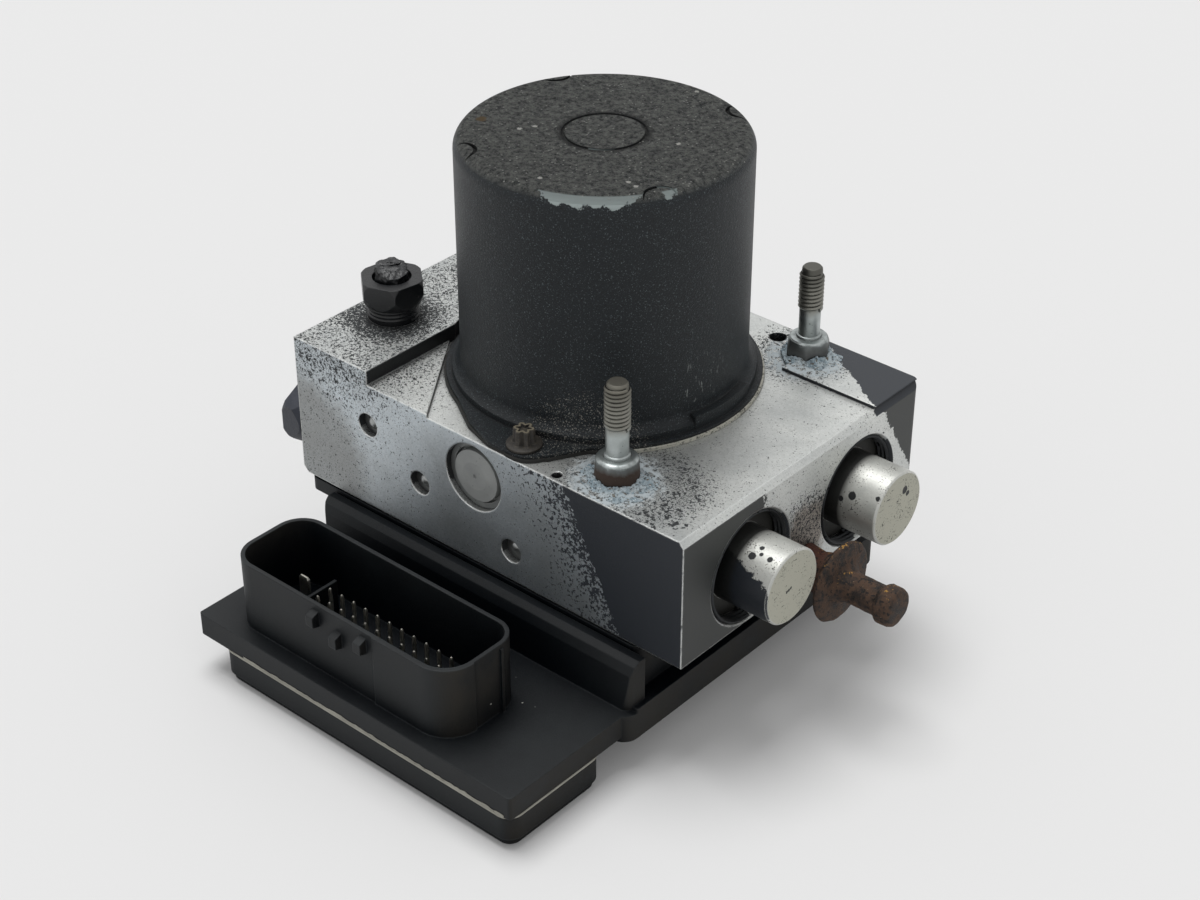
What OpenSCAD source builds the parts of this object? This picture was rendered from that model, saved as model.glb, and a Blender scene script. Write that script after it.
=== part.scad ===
// Anti-lock brake module: a drilled valve block with a pump motor on top and a control unit below.
// The origin is where the motor's axis meets the plane of the bottom cover, and +Z points up the motor.
// The connector is at the front, towards -Y, and the two large caps are on the right, towards +X.

/* [Valve block] */
// Width of the block, from left to right
block_w = 117; // [115:1:120]
// Depth of the block, from front to rear
block_d = 85; // [84:1:88]
// Height of the block up to its milled top
block_h = 32.5; // [32:0.5:35]
// Width of the raised ledge on the left
ledge_w = 24; // [22:0.5:25]
// Height of the ledge above the milled top
ledge_h = 4.5; // [3:0.5:6]
// Depth of the milled area below the rest of the top
mill_depth = 0.8; // [0.4:0.1:1.2]
// Chamfer along the top edge on the right
edge_chamfer = 1.3; // [0.5:0.1:2]
// Radius of the upright corner at the rear right
rear_corner_r = 2; // [1:0.5:4]

/* [Pump motor] */
// Outer radius of the motor's can
can_r = 33; // [32:0.5:33.5]
// Height of the can above the block
can_h = 59.5; // [59:0.5:64]
// Wall of the can
can_wall = 2; // [1.5:0.1:2.2]
// Radius of the can's top edge
rim_r = 3; // [2:0.5:4]
// Radius of the flange at the foot
flange_r = 36.4; // [35:0.1:36.6]
// Distance of each motor screw from the motor's axis, across and along
ear_x = 10; // [9.5:0.5:10.5]
ear_y = 38; // [37.4:0.1:38]
// Offset of the eccentric that drives the two pump pistons
eccentric_throw = 1.2; // [0.6:0.1:1.3]

/* [Control unit] */
// Height of the bottom cover, with its seal
cover_h = 9.2; // [8.5:0.1:11]
// Thickness of the housing's plate
plate_h = 5.8; // [5:0.1:7]
// Height of the wall between the plate and the block's seal
frame_h = 12.9; // [12:0.1:14]
// Gap that the block's seal fills
seal_h = 0.6; // [0.4:0.1:1]
// Half the width of the plate
plate_half_w = 48.7; // [48:0.1:50]
// Distance from the motor's axis to the plate's front edge
plate_front = 85.7; // [85:0.1:88]

/* [Connector] */
// Rows and columns of small pins
pin_columns = 11; // [2:1:11]
pin_rows = 2; // [1:1:2]
// Spacing of the pins both ways
pin_pitch = 3.8; // [3:0.1:3.8]
// Height of the shroud above the plate
shroud_h = 18; // [14:0.5:20]
// Wall of the shroud
shroud_wall = 1; // [0.8:0.1:1.4]

/* [Studs and pin] */
// Distance of the studs to the right of the motor's axis
stud_x = 31.8; // [31.5:0.1:32.5]
// Distance of the front stud and of the rear stud from the axis
stud_front = 32.4; // [32:0.1:33]
stud_rear = 35.5; // [35:0.1:36]
// Radius of the studs' worn M6 thread
stud_r = 2.85; // [2.5:0.05:3]
// Radius of the knurled end that is pressed into the block
stud_anchor_r = 3.3; // [3.1:0.1:3.5]
// Height of the stud's tip above the block
stud_h = 23.8; // [20:0.2:28]
// Length of the mounting pin outside the block
pin_reach = 26; // [24:0.5:30]

/* [Accumulators] */
// Radius of the threaded bores in the right face
acc_bore_r = 13.3; // [12.5:0.1:13.3]
// Radius of each cap's nose
acc_nose_r = 9; // [8:0.5:10]
// How far the noses stand out of the block
acc_nose_out = 11; // [8:0.5:12]

/* [Hidden] */

$fn = 64;
eps = 0.5;          // how far a cutting tool runs past the face it opens
fit_gap = 0.05;     // radial gap of a running or seated fit

// Levels, from the bottom cover upwards
plate_z = cover_h;
plate_top = plate_z + plate_h;
frame_top = plate_top + frame_h;
block_z = frame_top + seal_h;
top_z = block_z + block_h;
ledge_z = top_z + ledge_h;
can_top = top_z + can_h;

// Faces of the block
right_x = block_w / 2;
front_y = -block_d / 2;
rear_y = block_d / 2;
ledge_x = ledge_w - right_x;

// Top pads beside the milled area: the left one ends on a slanting line, the rear one on a straight one
left_pad = [[ledge_x, front_y], [-15.4, front_y], [ledge_x, -15.6]];
rear_pad_x = 31.6;
rear_pad_y = 25.9;

// Studs: their depth in the block, and the radii of collar, the narrow ring above it and shank
stud_depth = 11.5;
collar_r = 5;
stud_ring_r = 2.9;
shank_r = 2.5;

// Motor screws
motor_screw_r = 2;
motor_screw_depth = 12;
washer_r = 4;
screw_head_r = 2.9;
gasket_h = 0.8;
gasket_lip = 0.4;
foot_z = top_z + gasket_h;
flange_h = 0.7;
foot_flare = 2.6;

// Bores for the shaft: bearing seat, eccentric chamber and lower bearing
seat_r = 12;
seat_h = 4.5;
chamber_r = 11;
chamber_z = top_z - 16.5;
lower_bearing_r = 6.5;
lower_bearing_h = 5;

// Pump: two opposed pistons along Y, each this far from the motor's axis, the front one on the left
pump_x = -1.5;
pump_z = top_z - 9.8;
pump_bore_r = 6.5;
pump_sleeve_in = 13.5;
pump_cap_r = 8.4;
pump_cap_in = -front_y - 9;
pump_piston_r = 3.9;
pump_piston_in = 9.9;
pump_piston_out = 24;

// Accumulators: two bores along X in the right face
acc_z = top_z - 18.45;
acc_y = [-19, 20];
acc_floor_x = right_x - 21;
acc_mouth_r = acc_bore_r + 0.6;
acc_mouth_h = 0.9;
acc_disc_x = right_x - 8;
acc_disc_h = 4;
acc_piston_x = acc_floor_x + 0.3;
acc_piston_h = 6;
acc_spring_r = 5.6;
acc_spring_wire = 0.75;

// Mounting pin
pin_y = 0.5;
pin_z = top_z - 28.2;
pin_hole_r = 3.5;
pin_hole_depth = 12;
pin_collar_r = 9.9;
pin_shaft_r = 3.8;
pin_head_r = 4.8;

// Valves: four columns in two rows, inlets at the front
valve_x = [-30, -11, 8, 27];
valve_y = 11;
valve_bore_r = 5.5;
valve_bore_h = 14;
dome_r = 3.3;
dome_z = 11;
dome_bore_r = 2.45;
plunger_r = 2.35;
coil_r = 7.8;
coil_z = plate_z + 1.3;
coil_h = 16;

// Motor terminal
terminal_x = -22;
terminal_r = 3.5;

// Small plugs in the front face: across and down from the block's top
plug_r = 3;
plug_ball_r = 2.2;
front_plugs = [[-34.9, -10], [-18.6, -18.8], [9.5, -24.6]];
plug_bore_r = 2;

// Ports for the brake pipes
port_r = 6;
port_depth = 14;
top_port = [-48.4, -19.9];
top_port_rear = [-47, 22];
side_port = [-33, top_z - 23.3];
side_port_rear = [20, top_z - 23.3];
side_nut_in = 0.7;
rear_port_x = [-26, 20];
rear_port_z = top_z - 14;

// Pipe nuts
nut_af = 14;
nut_h = 6.2;
nut_thread_h = 4.1;
stub_r = 4.15;
pipe_r = 2.4;

// Rotor
shaft_r = 4;
shaft_tip_r = 3;
journal_r = 5.4;
journal_z = chamber_z + 1.6;
journal_h = 10.2;
armature_r = 24.6;
armature_z = top_z + 16;
armature_h = 28;
slot_count = 12;
magnet_in = 25.3;
commutator_r = 9;
commutator_z = top_z + 4.2;
commutator_h = 4.8;
winding_h = 6.6;
cam_in = 7.3;
cam_out = 8.5;
needle_r = 0.9;
needle_count = 16;

// Brushes
brush_w = 6;
brush_h = 3.6;
brush_in = commutator_r + 0.1;
brush_out = 19;
brush_z = commutator_z + 0.4;

// Housing of the control unit
wall_left = -47.8;
wall_right = 46.2;
wall_rear = 41;
frame_wall = 2.6;
dam_x = 49.1;
dam_back = -43;
dam_front = -48.5;
dam_top = plate_top + 12.1;
flange_half_w = 50.5;
flange_drop = 1.2;
flange_rise = 1;
flange_front = -51;
lip_x = -56.4;
lip_h = 3.4;
floor_h = 1.2;
pocket_depth = 3;

// Bottom cover
cover_left = -41.4;
cover_step_y = -56.4;
cover_rear_y = 38;
cover_half_w = 38.5;
cover_wall = 1.8;
cover_floor = 1.6;
cover_corner_r = 3.5;
cover_edge = 2.6;
bead_h = 0.5;
board_z = 5.4;
board_h = 1.6;

// Connector shroud and contacts
shroud_x = [-41, 27.8];
shroud_y = [-81.7, -59.1];
shroud_step_x = 5.4;
shroud_step = 0.3;
pin_x = -21.5;
pin_y_front = -73;
pin_tip = top_z - 35;
pin_w = 0.7;
blade_at = [-27.9, -71];
blade_w = 2.9;
blade_t = 0.8;
blade_tip = top_z - 33.7;

// Small lugs on the front of the shroud: across and up
lug_w = 2.2;
lugs = [[-12.5, top_z - 31.2], [-5.5, top_z - 33.6], [2.3, top_z - 31.1]];

// Screws that hold the control unit to the block
ecu_screw_at = [[-41.8, -36], [41.8, -36], [-41.8, 36.3], [41.8, 36.3]];
ecu_screw_r = 1.75;
ecu_head_r = 3;
ecu_screw_depth = 8;

// A plan with four arc corners: radii run front left, front right, rear right, rear left
module rounded_plan(x0, x1, y0, y1, r) {
    polygon([
        [x0, y0 + r[0]], [x0 + r[0], y0], [x1 - r[1], y0], [x1, y0 + r[1]],
        [x1, y1 - r[2]], [x1 - r[2], y1], [x0 + r[3], y1], [x0, y1 - r[3]]
    ]);
    translate([x0 + r[0], y0 + r[0]]) circle(r[0]);
    translate([x1 - r[1], y0 + r[1]]) circle(r[1]);
    translate([x1 - r[2], y1 - r[2]]) circle(r[2]);
    translate([x0 + r[3], y1 - r[3]]) circle(r[3]);
}

module prism(z, h) {
    translate([0, 0, z]) linear_extrude(h) children();
}

// A round bar or tool along +X, +Y or +Z from a point
module bar_x(x, y, z, r, l) {
    translate([x, y, z]) rotate([0, 90, 0]) cylinder(r = r, h = l);
}

module bar_y(x, y, z, r, l) {
    translate([x, y, z]) rotate([-90, 0, 0]) cylinder(r = r, h = l);
}

module bar_z(x, y, z, r, l) {
    translate([x, y, z]) cylinder(r = r, h = l);
}

// Turns a pump part to the front, side = -1, or to the rear, where the pump's axis lies on the other side
module pump_side(side) {
    translate([-side * pump_x, 0, pump_z]) rotate([side * -90, 0, 0]) children();
}

// A coil spring along +Z as a swept round wire
module coil_spring(r, wire, h, turns, steps, sides) {
    rings = turns * steps;
    rise = (h - 2 * wire) / rings;
    points = [
        for (i = [0:rings], j = [0:sides - 1])
            let (a = 360 * i / steps, b = 360 * j / sides, out = r + wire * cos(b))
            [out * cos(a), out * sin(a), wire + rise * i + wire * sin(b)]
    ];
    walls = [
        for (i = [0:rings - 1], j = [0:sides - 1])
            let (k = (j + 1) % sides)
            [i * sides + j, (i + 1) * sides + j, (i + 1) * sides + k, i * sides + k]
    ];
    first = [for (j = [0:sides - 1]) j];
    last = [for (j = [sides - 1:-1:0]) rings * sides + j];
    polyhedron(points, concat(walls, [first, last]), convexity = 8);
}

// Valve block

module block_plan() {
    difference() {
        square([block_w, block_d], center = true);
        translate([right_x - rear_corner_r, rear_y - rear_corner_r]) difference() {
            square(rear_corner_r + eps);
            circle(rear_corner_r);
        }
    }
}

module block_body() {
    prism(block_z, block_h) block_plan();
    prism(top_z - eps, eps + mill_depth) polygon(left_pad);
    prism(top_z - eps, eps + mill_depth) intersection() {
        block_plan();
        translate([rear_pad_x, rear_pad_y]) square([block_w, block_d]);
    }
    translate([-right_x, front_y, top_z - eps]) cube([ledge_w, block_d, ledge_h + eps]);
}

// The long chamfer on the right, and a small one along the bottom edge on the left
module block_chamfers() {
    translate([right_x, 0, top_z]) rotate([0, 45, 0])
        cube([edge_chamfer * sqrt(2), block_d + 2 * eps, edge_chamfer * sqrt(2)], center = true);
    translate([-right_x, 0, block_z]) rotate([0, 45, 0])
        cube([2, block_d + 2 * eps, 2], center = true);
}

module shaft_bores() {
    bar_z(0, 0, top_z - seat_h, seat_r, seat_h + eps);
    bar_z(0, 0, chamber_z, chamber_r, top_z - chamber_z);
    bar_z(0, 0, chamber_z - lower_bearing_h, lower_bearing_r, lower_bearing_h + eps);
    bar_z(terminal_x, 0, block_z - eps, terminal_r, block_h + 2 * eps);
}

module pump_bores() {
    for (side = [-1, 1]) pump_side(side) {
        cylinder(r = pump_bore_r, h = -front_y);
        translate([0, 0, pump_cap_in]) cylinder(r = pump_cap_r, h = 10);
    }
}

module accumulator_bores() {
    for (y = acc_y) {
        bar_x(acc_floor_x, y, acc_z, acc_bore_r, 22);
        translate([right_x - acc_mouth_h, y, acc_z]) rotate([0, 90, 0])
            cylinder(r1 = acc_bore_r, r2 = acc_mouth_r + 0.1, h = acc_mouth_h + 0.15);
    }
}

module valve_bores() {
    for (x = valve_x, y = [-valve_y, valve_y])
        bar_z(x, y, block_z - eps, valve_bore_r, valve_bore_h + eps);
}

// Small drillings close behind the plugs, which the plugs shut
module plug_bores() {
    for (p = front_plugs) {
        bar_y(p[0], front_y - eps, top_z + p[1], plug_r, 3 + eps);
        bar_y(p[0], front_y, top_z + p[1], plug_bore_r, 14);
    }
}

// The milled ring round the motor, which also cuts into the ledge's step
module motor_spot_face() {
    bar_z(0, 0, top_z, flange_r + gasket_lip + 0.3, ledge_h + eps);
}

module port_bores() {
    bar_z(top_port[0], top_port[1], ledge_z - port_depth, port_r, port_depth + eps);
    bar_z(top_port_rear[0], top_port_rear[1], ledge_z - port_depth, port_r, port_depth + eps);
    bar_x(-right_x - eps, side_port[0], side_port[1], port_r, port_depth + eps);
    bar_x(-right_x - eps, side_port_rear[0], side_port_rear[1], port_r, port_depth + eps);
    for (x = rear_port_x)
        bar_y(x, rear_y - port_depth, rear_port_z, port_r, port_depth + eps);
}

module fastener_bores() {
    for (s = [-1, 1])
        bar_z(-s * ear_x, s * ear_y, top_z - motor_screw_depth, motor_screw_r, motor_screw_depth + eps);
    for (y = [-stud_front, stud_rear])
        bar_z(stud_x, y, top_z - stud_depth - 0.5, stud_anchor_r, stud_depth + mill_depth + 1);
    bar_x(right_x - pin_hole_depth, pin_y, pin_z, pin_hole_r, pin_hole_depth + eps);
    for (p = ecu_screw_at)
        bar_z(p[0], p[1], block_z - eps, ecu_screw_r, ecu_screw_depth + eps);
    bar_z(21.7, -40.4, top_z - 3, 1.2, 3 + eps);
    bar_z(21.7, 37.4, top_z - 6, 2.1, 6 + eps);
}

module valve_block() {
    color("silver") difference() {
        block_body();
        block_chamfers();
        motor_spot_face();
        shaft_bores();
        pump_bores();
        accumulator_bores();
        valve_bores();
        plug_bores();
        port_bores();
        fastener_bores();
    }
}

// Motor housing

// Plan of the flange, grown by a lip: a disc with two ears, each cut straight on its left
module flange_plan(lip) {
    circle(flange_r + lip);
    for (turn = [0, 180]) rotate(turn) {
        polygon([
            [-19 - lip, -30.6 - lip / 2], [-5.3 - lip / 2, -39.1 - lip], [3.1, -42.2], [10, -42.2],
            [ear_x + 6.4 + lip, -ear_y], [22, -28.6], [0, -10]
        ]);
        translate([ear_x, 2 - ear_y]) circle(6.2 + lip);
    }
}

// Half section of the can: wall, rounded rim, flared foot and the collar that holds the upper bearing
module can_section() {
    difference() {
        union() {
            square([can_r, can_h - gasket_h - rim_r]);
            square([can_r - rim_r, can_h - gasket_h]);
            translate([can_r - rim_r, can_h - gasket_h - rim_r]) circle(rim_r);
            difference() {
                square([can_r + 2, 4.8]);
                translate([can_r + foot_flare, 4.8]) circle(foot_flare);
            }
        }
        translate([-eps, -eps]) square([can_r - can_wall + eps, can_h - gasket_h - can_wall + eps]);
        translate([8.7, can_h - gasket_h - 0.5]) square([0.8, 1]);
        translate([-can_r, -eps]) square([can_r, can_h + 2 * eps]);
    }
    translate([8, can_h - gasket_h - can_wall - 4.8]) square([1.8, 5]);
}

// Crescent dents that lock the can's inner parts, each bulging towards the motor's axis
module stake_dents() {
    for (a = [-122.5, -27.9, 60.5, 151.5]) rotate(a) translate([32.2, 0, can_top - 0.9]) difference() {
        cylinder(r = 3.8, h = 2);
        translate([1, 0, -eps]) cylinder(r = 3.8, h = 3);
    }
}

module motor_housing() {
    color("dimgray") difference() {
        union() {
            translate([0, 0, foot_z]) rotate_extrude() can_section();
            difference() {
                prism(foot_z, flange_h) flange_plan(0);
                bar_z(0, 0, foot_z - eps, can_r - can_wall, 5);
            }
            translate([0, 0, foot_z + 0.5]) rotate([0, 0, -14.5]) rotate_extrude(angle = 31.5)
                translate([can_r - 0.5, 0]) square([2.7, 3.4]);
        }
        stake_dents();
        for (s = [-1, 1]) bar_z(-s * ear_x, s * ear_y, foot_z - eps, motor_screw_r + 0.3, 5);
    }
}

module motor_gasket() {
    color("wheat") difference() {
        prism(top_z, gasket_h) intersection() {
            flange_plan(gasket_lip);
            square([block_w, block_d], center = true);
        }
        bar_z(0, 0, top_z - eps, can_r - can_wall + 0.3, 5);
        for (s = [-1, 1]) bar_z(-s * ear_x, s * ear_y, top_z - eps, motor_screw_r + 0.3, 5);
    }
}

// Screws with a round washer face and a slim tapered head
module motor_screws() {
    washer_z = foot_z + flange_h;
    head_z = washer_z + 0.8;
    color("darkkhaki") for (s = [-1, 1]) translate([-s * ear_x, s * ear_y, 0]) difference() {
        union() {
            bar_z(0, 0, top_z - motor_screw_depth, motor_screw_r - fit_gap, motor_screw_depth + 4);
            bar_z(0, 0, washer_z, washer_r, 0.8);
            translate([0, 0, head_z]) cylinder(r1 = screw_head_r, r2 = 2.3, h = 3.7);
        }
        prism(head_z + 2, 3) circle(1.4, $fn = 6);
    }
}

// Studs and pin

// The anchor in the block and the thread with its rounded tip, which both studs share
module stud_ends(thread_z, tip_z, anchor_top) {
    bar_z(0, 0, top_z - stud_depth, stud_anchor_r - fit_gap, stud_depth + anchor_top);
    bar_z(0, 0, thread_z, stud_r, tip_z - 0.9 - thread_z);
    translate([0, 0, tip_z - 0.9]) cylinder(r1 = stud_r, r2 = 2.1, h = 0.9);
}

// Round collar with a shoulder, below a narrow ring, the shank and the thread
module mounting_stud_front() {
    color("lightslategray") translate([stud_x, -stud_front, 0]) {
        stud_ends(top_z + 12.6, top_z + stud_h, eps);
        translate([0, 0, top_z]) cylinder(r1 = collar_r, r2 = collar_r - 0.3, h = 4.9);
        translate([0, 0, top_z + 4.9]) cylinder(r1 = collar_r - 0.3, r2 = 3.8, h = 0.6);
        translate([0, 0, top_z + 5.5]) cylinder(r1 = stud_ring_r + 0.1, r2 = stud_ring_r - 0.1, h = 0.8);
        bar_z(0, 0, top_z + 6.3, shank_r, 6.4);
    }
}

// Its collar is a hexagon that a cone has worn round towards the top
module mounting_stud_rear() {
    base = top_z + mill_depth;
    color("lightslategray") translate([stud_x, stud_rear, 0]) {
        stud_ends(top_z + 12.4, top_z + stud_h - 0.5, mill_depth + eps);
        intersection() {
            prism(base, 4.1) circle(collar_r + 0.35, $fn = 6);
            translate([0, 0, base]) cylinder(r1 = collar_r + 0.9, r2 = collar_r - 0.5, h = 4.1);
        }
        translate([0, 0, base + 4.1]) cylinder(r1 = collar_r - 0.5, r2 = 4.2, h = 0.4);
        translate([0, 0, base + 4.5]) cylinder(r1 = stud_ring_r + 0.1, r2 = stud_ring_r - 0.1, h = 0.5);
        bar_z(0, 0, base + 5, shank_r, 6.7);
    }
}

// Half section of the pin outside the block: neck, collar, shaft and rounded head
module pin_section() {
    difference() {
        union() {
            polygon([[0, 0], [5.2, 0], [4.8, 4], [6.2, 9], [0, 9]]);
            translate([0, 9]) square([pin_collar_r - 1.1, 2.2]);
            translate([pin_collar_r - 1.1, 10.1]) circle(1.1);
            polygon([[0, 11], [5.4, 11], [pin_shaft_r, 13.4], [0, 13.4]]);
            square([pin_shaft_r, pin_reach - 1]);
            translate([0, pin_reach]) polygon([
                [0, -5.2], [pin_shaft_r, -5.2], [pin_head_r, -3.8], [pin_head_r, -1.1], [0, -1.1]
            ]);
            translate([0, pin_reach - 1.2]) square([pin_head_r - 1.1, 1.2]);
            translate([pin_head_r - 1.1, pin_reach - 1.1]) circle(1.1);
        }
        translate([-20, -eps]) square([20, pin_reach + 2]);
    }
}

module mounting_pin() {
    color("saddlebrown") translate([right_x, pin_y, pin_z]) rotate([0, 90, 0]) {
        rotate_extrude() pin_section();
        translate([0, 0, -pin_hole_depth + 0.5]) cylinder(r = pin_hole_r - fit_gap, h = pin_hole_depth);
    }
}

// Accumulators

// Hollow cap: a threaded disc in the bore and a round nose outside it
module accumulator_cap(y) {
    nose_end = right_x + acc_nose_out;
    color("gainsboro") difference() {
        union() {
            bar_x(acc_disc_x, y, acc_z, acc_bore_r - fit_gap, acc_disc_h);
            bar_x(acc_disc_x, y, acc_z, acc_nose_r, nose_end - 0.4 - acc_disc_x);
            translate([nose_end - 0.4, y, acc_z]) rotate([0, 90, 0])
                cylinder(r1 = acc_nose_r, r2 = acc_nose_r - 0.4, h = 0.4);
        }
        bar_x(acc_disc_x - eps, y, acc_z, 7, nose_end - 3 - acc_disc_x + eps);
    }
}

module accumulator_piston(y) {
    color("gray") difference() {
        bar_x(acc_piston_x, y, acc_z, acc_bore_r - fit_gap, acc_piston_h);
        bar_x(acc_piston_x + 3, y, acc_z, 10, acc_piston_h);
    }
}

module accumulator_spring(y) {
    floor_x = acc_piston_x + 3;
    color("slategray") translate([floor_x, y, acc_z]) rotate([0, 90, 0])
        coil_spring(acc_spring_r, acc_spring_wire, right_x + acc_nose_out - 3 - floor_x, 7, 12, 6);
}

module accumulator_cap_front() accumulator_cap(acc_y[0]);
module accumulator_cap_rear() accumulator_cap(acc_y[1]);
module accumulator_piston_front() accumulator_piston(acc_y[0]);
module accumulator_piston_rear() accumulator_piston(acc_y[1]);
module accumulator_spring_front() accumulator_spring(acc_y[0]);
module accumulator_spring_rear() accumulator_spring(acc_y[1]);

// Pump

// Cap with a low cone round a flat centre and a centre mark, held by a ring in front of its shoulder
module pump_caps() {
    cone_base = -front_y - 0.9;
    color("darkgray") for (side = [-1, 1]) pump_side(side) difference() {
        union() {
            translate([0, 0, pump_cap_in]) cylinder(r = pump_cap_r - fit_gap, h = 6);
            translate([0, 0, pump_cap_in]) cylinder(r = 6.4, h = cone_base - pump_cap_in);
            translate([0, 0, cone_base]) cylinder(r1 = 6.4, r2 = 3.4, h = 0.4);
        }
        translate([0, 0, cone_base + 0.1]) cylinder(r = 0.5, h = 1);
    }
}

module retaining_rings() {
    color("dimgray") for (side = [-1, 1]) pump_side(side) translate([0, 0, pump_cap_in + 6.1])
        difference() {
            cylinder(r = pump_cap_r - fit_gap, h = 1.3);
            translate([0, 0, -eps]) cylinder(r = 7, h = 3);
        }
}

module pump_sleeves() {
    color("silver") for (side = [-1, 1]) pump_side(side) translate([0, 0, pump_sleeve_in]) difference() {
        cylinder(r = pump_bore_r - fit_gap, h = pump_cap_in - pump_sleeve_in);
        translate([0, 0, -eps]) cylinder(r = pump_piston_r + fit_gap, h = 30);
    }
}

module pump_piston(side) {
    color("lightgray") pump_side(side) translate([0, 0, pump_piston_in])
        cylinder(r = pump_piston_r, h = pump_piston_out - pump_piston_in);
}

module pump_spring(side) {
    color("slategray") pump_side(side) translate([0, 0, pump_piston_out])
        coil_spring(2.6, 0.45, pump_cap_in - pump_piston_out, 6, 10, 5);
}

module pump_piston_front() pump_piston(-1);
module pump_piston_rear() pump_piston(1);
module pump_spring_front() pump_spring(-1);
module pump_spring_rear() pump_spring(1);

// Each plug is a ball pressed into a short sleeve, below the block's face
module ball_plugs() {
    color("gray") for (p = front_plugs) translate([p[0], front_y + 2.9, top_z + p[1]]) rotate([90, 0, 0])
        union() {
            cylinder(r = plug_r - fit_gap, h = 1);
            intersection() {
                cylinder(r = plug_r - fit_gap, h = 2.5);
                translate([0, 0, -0.3]) sphere(r = plug_ball_r);
            }
        }
}

// Pipe fittings

// Hexagon nut with rounded corners and its threaded shank, along +Z from the port's face
module pipe_nut() {
    difference() {
        union() {
            bar_z(0, 0, 1.4 - port_depth, port_r - fit_gap, port_depth + nut_thread_h - 0.8);
            intersection() {
                translate([0, 0, nut_thread_h]) cylinder(d = nut_af / cos(30), h = nut_h, $fn = 6);
                translate([0, 0, nut_thread_h - 0.1]) cylinder(r1 = 6.8, r2 = 9.6, h = nut_h + 0.2);
                translate([0, 0, nut_thread_h + nut_h / 2 - 0.3]) sphere(r = 8.2);
            }
        }
        translate([0, 0, -port_depth]) cylinder(r = pipe_r + fit_gap, h = 40);
        translate([0, 0, nut_thread_h + nut_h - 2]) cylinder(r = stub_r + 0.5, h = 4);
    }
}

// Pipe through the nut, with a thicker end that is cut off on a slant
module pipe_stub(out, tilt) {
    difference() {
        union() {
            bar_z(0, 0, 1.6 - port_depth, pipe_r, port_depth + nut_thread_h + nut_h - 3.6);
            translate([0, 0, nut_thread_h + nut_h - 2]) cylinder(r = stub_r, h = out + 2);
        }
        translate([0, 0, nut_thread_h + nut_h + out - 1.2]) rotate([tilt / 3, tilt, 0])
            translate([0, 0, 10]) cube(20, center = true);
    }
}

module place_top_port() {
    translate([top_port[0], top_port[1], ledge_z]) rotate([0, 0, 20]) children();
}

module place_side_port() {
    translate([side_nut_in - right_x, side_port[0], side_port[1]]) rotate([0, -90, 0]) children();
}

module pipe_nut_top() color("black") place_top_port() pipe_nut();
module pipe_stub_top() color("darkslategray") place_top_port() pipe_stub(3.1, 14);
module pipe_nut_side() color("midnightblue") place_side_port() pipe_nut();
module pipe_stub_side() color("darkslategray") place_side_port() pipe_stub(0.8, 4);

// Motor's inner parts

module motor_magnets() {
    thickness = can_r - can_wall - fit_gap - magnet_in;
    color("darkgray") for (a = [0, 90, 180, 270]) rotate([0, 0, a + 6]) translate([0, 0, top_z + 11])
        rotate_extrude(angle = 78) translate([magnet_in, 0]) square([thickness, 38]);
}

module armature_slots(grow) {
    for (i = [0:slot_count - 1]) rotate(360 * i / slot_count) {
        translate([11, -2.4 + grow]) square([10.5 - grow, 4.8 - 2 * grow]);
        translate([20, -0.9 + grow / 2]) square([8, 1.8 - grow]);
    }
}

module armature_core() {
    color("silver") prism(armature_z, armature_h) difference() {
        circle(armature_r);
        circle(shaft_r);
        armature_slots(0);
    }
}

// Copper in the slots, joined by the round heads above and below the core
module armature_windings() {
    color("chocolate") {
        prism(armature_z - 1, armature_h + 2) intersection() {
            armature_slots(0.2);
            circle(21.3);
        }
        for (z = [armature_z - winding_h, armature_z + armature_h])
            translate([0, 0, z]) rotate_extrude() {
                translate([9.8, 1.6]) square([12.8, winding_h - 3.2]);
                translate([11.4, 0]) square([9.6, winding_h]);
                for (x = [11.4, 21], y = [1.6, winding_h - 1.6]) translate([x, y]) circle(1.6);
            }
    }
}

module commutator() {
    color("peru") difference() {
        bar_z(0, 0, commutator_z, commutator_r, commutator_h);
        bar_z(0, 0, commutator_z - eps, shaft_r, 10);
        for (i = [0:slot_count - 1]) rotate([0, 0, 360 * i / slot_count])
            translate([7.6, -0.3, commutator_z - eps]) cube([3, 0.6, 10]);
    }
}

module motor_shaft() {
    color("lightsteelblue") {
        bar_z(0, 0, chamber_z - lower_bearing_h + 0.6, shaft_tip_r, 8);
        bar_z(eccentric_throw, 0, journal_z, journal_r, journal_h);
        bar_z(0, 0, journal_z + journal_h - 0.1, shaft_r, can_top - can_wall - 0.4 - journal_z - journal_h);
    }
}

// A closed bearing: its outer and inner radii are those of its seats
module ring_bearing(z, h, seat, journal) {
    outer = seat - fit_gap;
    inner = journal + fit_gap;
    color("lightgray") difference() {
        bar_z(0, 0, z, outer, h);
        bar_z(0, 0, z - eps, inner, h + 2 * eps);
        for (face = [z - 0.3, z + h - 0.3]) translate([0, 0, face]) difference() {
            cylinder(r = outer - 1.1, h = 0.6);
            cylinder(r = inner + 0.9, h = 0.6);
        }
    }
}

module bearing_upper() ring_bearing(can_top - can_wall - 4.6, 4.4, 8, shaft_r);
module bearing_middle() ring_bearing(top_z - seat_h + 0.2, 4.2, seat_r, shaft_r);
module bearing_lower() ring_bearing(chamber_z - lower_bearing_h + 0.3, 4.4, lower_bearing_r, shaft_tip_r);

module cam_ring() {
    color("lightgray") translate([eccentric_throw, 0, journal_z + 0.4]) difference() {
        cylinder(r = cam_out, h = journal_h - 0.8);
        translate([0, 0, -eps]) cylinder(r = cam_in, h = 20);
    }
}

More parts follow.
